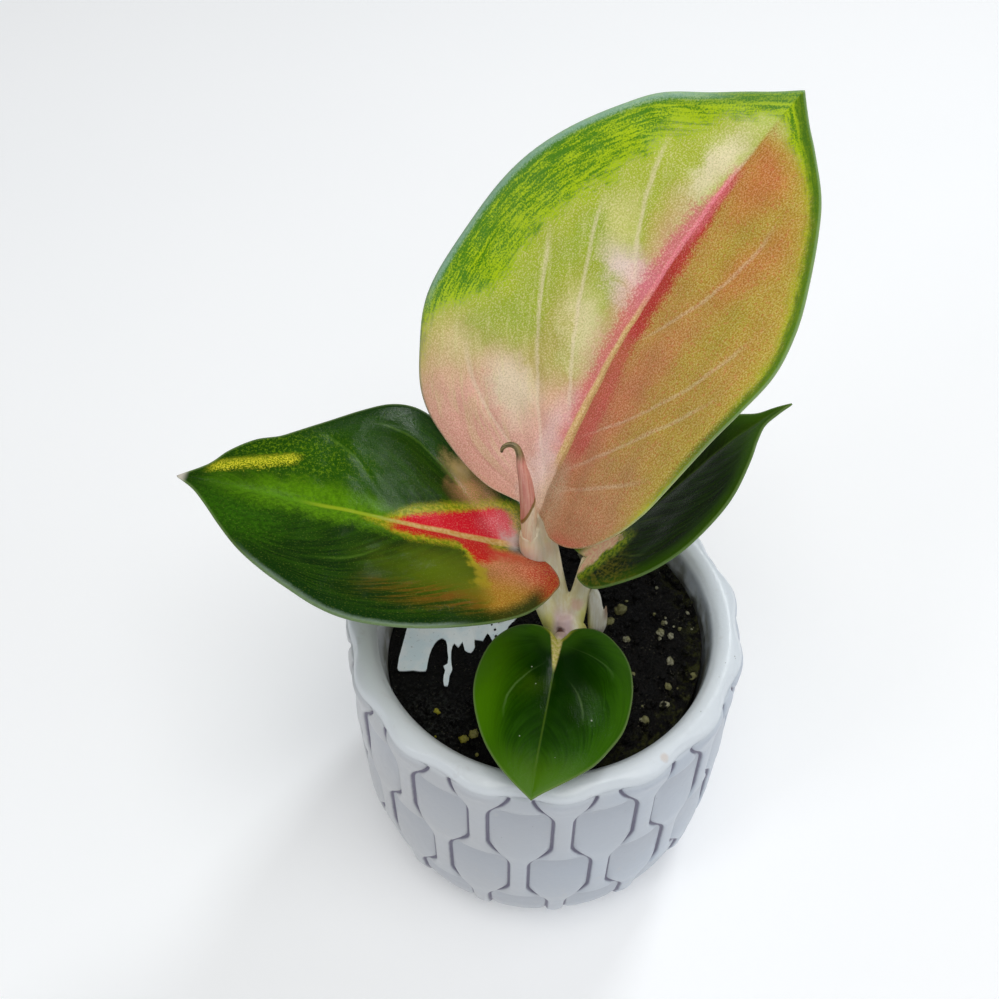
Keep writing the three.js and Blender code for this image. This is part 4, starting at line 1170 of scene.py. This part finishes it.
def leftLeafPaint():
    paint = LeafPaint("redHeartBlade", {"Specular IOR Level": 0.1})
    s, v, rim = paint.s, paint.v, paint.rim
    fine, grain, streak = paint.fine, paint.grain, paint.streak
    drift = paint.drift
    ragged = paint.ragged * 0.45 + drift * 4.0
    right = v.rise(-0.5, 0.5)
    left = 1 - right
    besideRib = 0.45 + streak.rise(0.36, 0.6) * 0.2 + fine.rise(0.4, 0.6) * 0.3
    flecked = (fine * 0.6 + grain * 0.4).rise(0.48, 0.62)
    base = paint.layers(
        paint.mix(streak.rise(0.35, 0.7), tint(14, 42, 0), tint(34, 68, 1)),
        (paint.blob(84, -9, 16, 8, 0.8) * (0.3 + fine.rise(0.4, 0.6) * 0.35), tint(54, 106, 2)),
        (paint.blob(62, 14, 24, 14, 0.9) * 0.55, tint(44, 92, 2)),
        (paint.blob(62, 1, 24, 6, 0.5) * besideRib, tint(92, 142, 4)),
        (paint.blob(74, 16, 18, 8, 0.8) * flecked * 0.6, tint(120, 156, 10)),
        (paint.blob(38, 34, 20, 9, 0.9) * 0.4, tint(30, 70, 3)),
        (paint.blob(24, -18, 16, 9, 0.9) * 0.8, tint(92, 110, 8)),
        (paint.blob(27, -27, 16, 4, 0.9) * streak.rise(0.4, 0.6) * 0.7, tint(124, 72, 20)),
        (paint.blob(12, -23, 9, 5, 0.9) * 0.8, tint(116, 112, 8)),
    )
    # yellow patch near the tip, slanting to the midrib
    slant = v - (12.8 - (s - 72.0) * 0.36)
    yellow = abs(slant + ragged * 0.9).fall(0.4, 2.8) * (s + ragged).within(71.0, 94.0, 2.0)
    # red heart, edged with yellow, on both sides of the midrib
    heartRight = (16.0 - s * 0.35).least(12.5) + drift * 5.0 - s.rise(34.0, 46.0) * 1.5
    heartLeft = 3.6 + (s + drift * 6.0).within(11.0, 20.0, 3.5) * 6.0
    crumbled = s + ragged * 1.2
    redRight = (v + ragged - heartRight).fall(-1.2, 1.2) * (crumbled - v * 0.25).rise(-0.5, 3.5)
    redRight = redRight * crumbled.fall(40.0, 46.0) * right
    redLeft = ((-v) + ragged - heartLeft).fall(-1.2, 1.2) * left
    redLeft = redLeft * crumbled.rise(11.0, 15.0) * crumbled.fall(39.0, 44.0)
    yellowRight = (v + ragged - heartRight - 3.4 + s.rise(36.0, 52.0) * 4.5).fall(-1.6, 1.4)
    yellowRight = yellowRight * crumbled.fall(47.0, 53.0) * right
    yellowLeft = ((-v) + ragged - heartLeft - 2.8 + s.rise(36.0, 50.0) * 4.5).fall(-1.5, 1.2)
    yellowLeft = yellowLeft * crumbled.within(8.0, 49.0, 2.5) * left
    lobe = (s + drift * 4.0).fall(15.0, 21.0) * (-v).rise(1.0, 5.0)
    lobeTone = paint.layers(
        paint.mix(crumbled.rise(-3.0, 10.0), tint(172, 76, 36), tint(158, 122, 34)),
        ((v + s * 0.9 + ragged).fall(-22.0, -12.0) * 0.6, tint(120, 116, 14)),
        ((rim + ragged).fall(1.0, 6.5) * s.fall(-1.0, 8.0) * 0.85, tint(172, 28, 30)),
        (grain.rise(0.48, 0.62) * 0.5, tint(206, 150, 74)),
        (grain.fall(0.38, 0.5) * 0.45, tint(168, 70, 38)),
        (paint.blob(9, -9, 8, 8, 0.9) * (0.3 + grain.rise(0.42, 0.58) * 0.6), tint(224, 142, 112)),
        (paint.blob(13, -5, 7, 2.5, 0.8) * 0.8, tint(196, 44, 34)),
        (paint.blob(0, -11, 6, 5, 0.9) * grain.fall(0.45, 0.6) * 0.8, tint(184, 44, 36)),
    )
    dust = grain.rise(0.5, 0.64)
    rosy = paint.mix(grain.rise(0.42, 0.6), tint(160, 132, 70), tint(204, 138, 106))
    aboveLobe = (s + drift * 9.0 + ragged * 0.5).within(16.6, 19.8, 1.2) * (-v).within(6.0, 20.0, 3.0)
    darkRim = (rim + ragged * 0.4).fall(1.8, 5.4) * s.fall(60.0, 90.0)
    darkRim = darkRim * (s.rise(-1.0, 6.0) * left + right * 0.6)
    # painted highlight: a pale glint along the left margin
    paintedGloss = (rim + ragged * 0.3).fall(0.4, 1.8) * left * s.within(26.0, 76.0, 5.0)
    coloured = paint.layers(
        base,
        (yellow * 0.9, paint.mix(grain.rise(0.42, 0.6), tint(112, 130, 8), tint(226, 216, 52))),
        (yellowRight * 0.95, paint.mix(fine.rise(0.4, 0.6), tint(120, 140, 10), tint(184, 176, 40))),
        (yellowLeft * 0.95, paint.mix(fine.rise(0.4, 0.6), tint(112, 132, 8), tint(178, 164, 36))),
        (paint.blob(17, 17, 7, 5, 0.7) * 0.8, rosy),
        (paint.blob(21, 25, 6, 3.5, 0.8) * 0.8, tint(178, 150, 96)),
        (lobe, lobeTone),
        (aboveLobe * 0.7, tint(176, 160, 34)),
        (redRight, paint.mix(dust * 0.42, tint(208, 14, 36), tint(228, 104, 110))),
        (redLeft, paint.mix(dust * 0.4, tint(190, 30, 22), tint(222, 112, 92))),
        (paint.blob(6, 7, 8, 5, 0.8) * (dust * 0.6 + 0.25), tint(230, 150, 156)),
        (paint.blob(3, 1, 4, 3.5, 0.8) * 0.9, tint(200, 182, 174)),
        (darkRim * 0.9, tint(12, 46, 2)),
        # painted highlight along the left margin
        (paintedGloss * (0.2 + fine * 0.5), tint(150, 172, 150)),
        (rim.fall(0.1, 0.8) * 0.5, tint(120, 146, 84)),
        ((s - 98.5).rise(0.0, 2.5) * 0.9, tint(206, 198, 186)),
    )
    ribWidth = 1.15 - s.rise(8.0, 52.0) * 0.6
    rib = (abs(v + drift * 0.4) - ribWidth).fall(-0.3, 0.4) * s.rise(4.0, 9.0)
    ribColour = paint.layers(
        paint.mix(fine.rise(0.4, 0.6), tint(196, 154, 80), tint(212, 180, 116)),
        (s.rise(34.0, 48.0), tint(146, 168, 30)),
        (s.rise(58.0, 70.0), tint(86, 136, 20)),
    )
    finished = paint.layers(
        coloured,
        (paint.creaseLines("leaf_left", 0.7) * 0.3, tint(96, 136, 40)),
        (rib * s.fall(60.0, 98.0) * 0.9, ribColour),
        (grain.rise(0.56, 0.7) * 0.14, tint(160, 180, 70)),
    )
    paint.finishWith(finished, tint(108, 136, 74), 0.19)
    return paint


def rightLeafPaint():
    paint = LeafPaint("darkGreenBlade", {"Specular IOR Level": 0.13})
    s, v, rim = paint.s, paint.v, paint.rim
    sw, fine, grain, streak = paint.sw, paint.fine, paint.grain, paint.streak
    crumbled = v + paint.drift * 5.0 + paint.ragged * 0.2
    strip = (crumbled - (4.2 - s * 0.12)).fall(-0.8, 0.8) * v.rise(-4.0, -1.0)
    strip = strip * (s + paint.ragged).fall(10.0, 14.0)
    lime = (crumbled - (7.2 - s * 0.1)).fall(-2.0, 1.5) * v.rise(-6.0, 0.0) * sw.fall(10.0, 19.0)
    lobe = s.fall(6.0, 15.0) * (fine * 0.6 + streak * 0.4).rise(0.42, 0.6)
    colour = paint.layers(
        paint.mix(streak.rise(0.35, 0.7), tint(14, 32, 1), tint(26, 52, 1)),
        (rim.fall(1.0, 5.0) * 0.6, tint(56, 96, 8)),
        (s.rise(46.0, 64.0) * 0.55, tint(60, 100, 8)),
        (lobe * 0.7, tint(112, 108, 28)),
        (lime * 0.9, paint.mix(fine.rise(0.36, 0.62), tint(60, 98, 2), tint(146, 168, 24))),
        (strip * 0.95, paint.mix(fine.rise(0.3, 0.7), tint(232, 210, 164), tint(220, 156, 140))),
        (paint.creaseLines("leaf_right", 0.6) * 0.3, tint(110, 136, 60)),
        (rim.fall(0.1, 0.8) * 0.5, tint(120, 150, 84)),
        (abs(v).fall(0.1, 0.6) * s.rise(10.0, 16.0) * 0.3, tint(84, 112, 40)),
        (grain.rise(0.58, 0.74) * 0.1, tint(140, 160, 80)),
    )
    paint.finishWith(colour, tint(96, 122, 66), 0.2)
    return paint


def frontLeafPaint():
    paint = LeafPaint("midGreenBlade", {"Specular IOR Level": 0.08})
    s, v, rim = paint.s, paint.v, paint.rim
    fine, streak, slow = paint.fine, paint.streak, paint.slow
    middle = ((((s - 12.0) / 22.0) ** 2.0 + ((v + 2.0) / 13.0) ** 2.0) ** 0.5 + slow * 0.9).fall(0.4, 1.3)
    wedge = (abs(v - 0.6 + s * 0.02) - (1.6 - s * 0.12)).fall(-0.25, 0.4) * s.fall(9.0, 13.0)
    line = abs(v - 0.4).fall(0.08, 0.42) * s.rise(6.0, 12.0) * s.fall(38.0, 46.0)
    notch = rim.fall(0.3, 1.4) * s.fall(-1.5, 2.0) * abs(v).fall(2.0, 6.0)
    flecks = paint.cells(paint.flat, 0.17).fall(0.03, 0.045)
    colour = paint.layers(
        paint.mix(streak.rise(0.3, 0.7), tint(26, 62, 1), tint(38, 80, 2)),
        (middle * 0.95, tint(6, 34, 0)),
        (v.rise(9.0, 20.0) * s.fall(34.0, 44.0) * 0.75, tint(80, 130, 4)),
        (s.rise(34.0, 48.0) * 0.75, tint(82, 122, 14)),
        (rim.fall(2.0, 7.0) * 0.35, tint(66, 114, 8)),
        (paint.blob(17, 6, 4, 4, 0.9) * 0.35, tint(62, 92, 8)),
        (wedge * 0.9, paint.mix(fine.rise(0.4, 0.6), tint(176, 172, 78), tint(210, 194, 132))),
        (line * 0.35, tint(92, 120, 34)),
        (paint.creaseLines("leaf_front", 0.5) * 0.32, tint(110, 142, 80)),
        (notch * 0.7, tint(168, 160, 52)),
        (rim.fall(0.1, 0.7) * 0.5, tint(120, 140, 80)),
        (flecks * 0.7, tint(190, 200, 180)),
    )
    paint.finishWith(colour, tint(104, 132, 72), 0.18)
    return paint


# stem, stalks, rolled new leaf and side shoot: points with a radius each

stalks = {
    "stump": [(6.6, -1, 74.6, 5.9), (6.6, -1, 84, 6.1), (6.6, -1, 93, 6.15), (6.4, -1.3, 99, 5.6),
              (5.6, -0.2, 104, 4)],
    "big": [(6, -0.6, 94, 4.4), (5.2, 0.8, 100, 4.3), (3.4, 3.6, 108, 3.9), (1.8, 5, 118, 3.5),
            (0.2, 5.4, 130, 3.1), (-1.4, 4.9, 140, 2.6), (-2.3, 4.9, 145.4, 1.7)],
    "sheath": [(3.6, 2.4, 101, 3), (0.8, 3.7, 112, 3.6), (-1.8, 3.5, 122, 3.9), (-4, 2.5, 131, 3.7),
               (-5, 1.8, 137, 3.2), (-5.4, 1.6, 141, 2.7)],
    "right": [(7.4, -1.4, 95, 3.9), (9.2, 0.6, 103, 3.4), (10.8, 2.4, 112, 2.9), (11.7, 3, 120, 2.5),
              (11.9, 2.9, 126.6, 1.8)],
    "left": [(4.8, -2.2, 95.4, 3.4), (1.6, -1.6, 103, 2.9), (-1.8, 0.1, 113, 2.6), (-4.6, 2, 124, 2.3),
             (-6.2, 3.5, 130, 1.8)],
    "front": [(5.6, -3.4, 95, 2.9), (4.9, -6.4, 99.5, 2.4), (4.2, -11, 105, 2.1),
              (3.6, -14.6, 109.4, 1.7), (3.4, -16.4, 110.6, 1.2)],
    "bud": [(8.6, -6.6, 95.5, 1.7), (9, -7.2, 98, 1.3), (9.3, -7.6, 100, 0.35)],
}
nodeRing = {"centre": (6.8, -1.5, 95), "radius": 6.55, "bead": 0.55}
spear = [(-3.6, 2.8, 128, 1.5), (-5.2, 1.2, 138, 2), (-5.7, 0.9, 147, 2.35), (-6, 0.8, 154, 2.3),
         (-6.9, 2.3, 162, 1.9), (-8, 3.7, 167, 1.35), (-8.5, 4.9, 170, 1), (-9.4, 5.8, 171.8, 0.85),
         (-11.2, 6.3, 172.2, 0.75), (-12.8, 6.3, 171, 0.6), (-13.2, 6.1, 169.6, 0.4)]
# angle of the rolled blade's edge at the base and how far it winds up, in radians, and its step; then the
# height of the cream sheath's edge and its slant
spearRoll = {"seamStart": -1.9, "seamTurn": 3.4, "overlap": 0.17, "sheathTop": 152.3, "sheathSlant": 2.5}
shoot = [(16.6, 1.6, 79.4, 2.2), (16.5, 1.5, 90, 2.4), (16, 1, 98, 2.5), (15.2, 0.9, 106, 2.3),
         (14.6, 0.9, 112, 1.8), (14.4, 0.9, 116, 0.4)]
scale = [(17.2, 0.4, 92, 1.2), (18, 0, 97, 1.3), (18.4, 0.2, 102, 0.9), (18.6, 0.6, 106.6, 0.25)]


def ringBead(centre, radius, bead):
    # a slight ridge round the stem where an old leaf sat
    turn = np.linspace(0, 2 * math.pi, 48, endpoint=False)
    small = np.linspace(0, 2 * math.pi, 10, endpoint=False)
    rings = []
    for a in turn:
        r = radius + bead * np.cos(small)
        z = centre[2] + bead * np.sin(small) + 0.7 * math.cos(a + 1.2)
        rings.append(np.stack([centre[0] + r * math.cos(a), centre[1] + r * math.sin(a), z], -1))
    points = np.vstack(rings)
    faces = ringFaces(49, 10)
    return points, [[i % len(points) for i in face] for face in faces]


def makeStem():
    parts = [tube(path, 24, 8) for path in stalks.values()]
    parts.append(ringBead(nodeRing["centre"], nodeRing["radius"] - 0.2, nodeRing["bead"]))
    points, faces = joinedMesh(parts)
    mesh = remeshed("stemAndStalks", points, faces, voxel=0.42, smoothing=4)
    placePiece("stemAndStalks", mesh, stemPaint(), ["stem"])


def stemPaint():
    paint = Paint("creamStalk", {"Specular IOR Level": 0.3})
    place = paint.object()
    x, y, z = paint.split(place)
    streak = paint.cloud(paint.joined(x * 1.2, y * 1.2, z * 0.12), 0.8, 3.0, 0.6)
    soft = paint.cloud(place, 0.16, 2.0)
    fine = paint.cloud(place, 0.9, 3.0, 0.6)

    def spot(px, py, pz, size, soften=0.5):
        gap = paint.wayTo(place, (px, py, pz))
        return (gap + (fine - 0.5) * size * 0.8).fall(size * (1 - soften), size * (1 + soften))

    low = z.fall(104.0, 113.0)
    colour = paint.layers(
        paint.mix(streak.rise(0.35, 0.65), tint(252, 246, 216), tint(240, 230, 184)),
        (z.rise(112.0, 124.0) * soft.rise(0.4, 0.6) * 0.45, tint(246, 222, 200)),
        (z.rise(134.0, 144.0) * 0.6, tint(206, 194, 168)),
        (spot(-5.5, -0.5, 131, 4.5, 0.7) * 0.5, tint(214, 212, 208)),
        (low * abs(x - 6.6).rise(2.4, 5.0) * 0.8, tint(228, 224, 110)),
        (z.within(100.0, 112.0, 2.0) * abs(x - 5.6).fall(1.4, 4.4) * y.fall(-3.0, 1.0) * 0.85,
         tint(220, 190, 196)),
        (z.fall(93.0, 97.5) * 0.7, tint(206, 190, 140)),
        (spot(4.6, -5.9, 102.4, 1.25) * 0.95, tint(84, 48, 40)),
        (spot(9.4, -1.5, 109.5, 2.2) * 0.6, tint(230, 178, 160)),
        (spot(4.6, -1.2, 113.0, 1.6) * 0.5, tint(236, 190, 160)),
        (spot(9.3, -7.6, 99.2, 1.3) * 0.75, tint(92, 76, 36)),
        (spot(3.4, -16.4, 111.0, 2.4) * 0.8, tint(176, 170, 72)),
        (spot(3.3, -17.0, 111.4, 0.9) * 0.7, tint(104, 70, 48)),
        (z.fall(92.0, 94.5) * 0.8, tint(66, 48, 34)),
        (paint.cells(place, 0.5).fall(0.04, 0.09) * soft.rise(0.5, 0.65) * 0.6, tint(120, 78, 50)),
    )
    paint.put("Base Color", colour)
    paint.put("Roughness", 0.34 + fine * 0.16)
    paint.put("Normal", paint.bump(streak * 0.8 + fine * 0.2, 0.3, 0.0008))
    return paint


def makeSpear():
    # the blade is rolled: one edge overlaps the roll as a step that winds up it
    sides, perSpan = 48, 14
    line = throughPoints(spear, perSpan)
    frames = framesAlong(line)
    turn = np.linspace(0, 2 * math.pi, sides, endpoint=False)
    rings = []
    marks = []
    for i, (centre, (_, side, up)) in enumerate(zip(line, frames)):
        q = i / len(line)
        seam = spearRoll["seamStart"] + spearRoll["seamTurn"] * q
        offset = (turn - seam) % (2 * math.pi)
        lapEdge = np.exp(-offset * 1.1)
        r = centre[3] * (0.93 + spearRoll["overlap"] * lapEdge)
        spoke = np.outer(np.cos(turn), side) + np.outer(np.sin(turn), up)
        rings.append(centre[:3] + spoke * r[:, None])
        marks.append(np.stack([np.full(sides, q), offset, np.zeros(sides)], -1))
    start = line[0, :3] - frames[0][0]
    end = line[-1, :3] + frames[-1][0] * 0.3
    points, faces = closedSkin(np.array(rings), start, end)
    mesh = newMesh("newLeafSpear", points, faces)
    storeVector(mesh, "roll", np.vstack([np.vstack(marks), [[0, 3, 0], [1, 3, 0]]]))
    paint = Paint("pinkSpear", {"Specular IOR Level": 0.4})
    place = paint.object()
    q, offset, _ = paint.split(paint.attribute("roll"))
    fine = paint.cloud(place, 1.6, 3.0, 0.6)
    lengthwise = paint.cloud(paint.joined(offset * 2.2, q * 5.0), 1.4, 3.0)
    hook = (q + (fine - 0.5) * 0.06).rise(0.5, 0.62)
    x, _, z = paint.split(place)
    sheathTone = paint.mix(lengthwise.rise(0.35, 0.65), tint(250, 236, 204), tint(242, 214, 186))
    wrap = z - spearRoll["sheathTop"] - (x + 5.9) * spearRoll["sheathSlant"] + (fine - 0.5) * 0.6
    colour = paint.layers(
        paint.mix(lengthwise.rise(0.35, 0.65), tint(212, 136, 124), tint(228, 168, 150)),
        (fine.rise(0.55, 0.7) * 0.4, tint(238, 196, 176)),
        (wrap.fall(-0.5, 0.3), sheathTone),
        (abs(wrap).fall(0.6, 1.5) * 0.9, tint(134, 106, 38)),
        (hook * 0.95, paint.mix(lengthwise.rise(0.35, 0.6), tint(66, 62, 34), tint(140, 128, 84))),
        (q.rise(0.93, 0.99) * 0.6, tint(40, 34, 20)),
    )
    paint.put("Base Color", colour)
    paint.put("Roughness", 0.36 + fine * 0.14)
    paint.put("Normal", paint.bump(lengthwise, 0.3, 0.0005))
    placePiece("newLeafSpear", mesh, paint, ["new_leaf"])


def makeShoot():
    points, faces = joinedMesh([tube(shoot, 24, 8), tube(scale, 20, 8, 0.6)])
    mesh = remeshed("sideShootTube", points, faces, voxel=0.3, smoothing=3)
    paint = Paint("paleShoot", {"Specular IOR Level": 0.4})
    place = paint.object()
    x, y, z = paint.split(place)
    streak = paint.cloud(paint.joined(x * 1.6, y * 1.6, z * 0.12), 0.8, 3.0, 0.6)
    fine = paint.cloud(place, 1.2, 3.0, 0.6)
    colour = paint.layers(
        paint.mix(streak.rise(0.35, 0.65), tint(240, 238, 224), tint(222, 216, 192)),
        ((x + y * 0.3 + (z - 90.0) * 0.07).fall(14.0, 14.9) * 0.85, tint(112, 110, 44)),
        (z.fall(92.0, 99.0) * fine.rise(0.42, 0.6) * 0.7, tint(150, 120, 80)),
        (x.rise(17.4, 18.6) * z.rise(98.0, 105.0) * 0.8, tint(142, 100, 66)),
        (z.fall(94.0, 98.0) * (-y).rise(0.0, 1.6) * 0.8, tint(58, 46, 34)),
        (z.fall(91.0, 93.5) * 0.7, tint(70, 54, 36)),
    )
    paint.put("Base Color", colour)
    paint.put("Roughness", 0.36 + fine * 0.16)
    paint.put("Normal", paint.bump(streak, 0.25, 0.0006))
    placePiece("sideShootTube", mesh, paint, ["side_shoot"])


makeCamera()
makeLamps()
makeFloor()
makePot()
makeSoil()
makeCrumbs()
makePerlite()
makeWater()
makeBlade("leaf_big", bigLeafPaint())
makeBlade("leaf_left", leftLeafPaint())
makeBlade("leaf_right", rightLeafPaint())
makeBlade("leaf_front", frontLeafPaint())
makeStem()
makeSpear()
makeShoot()
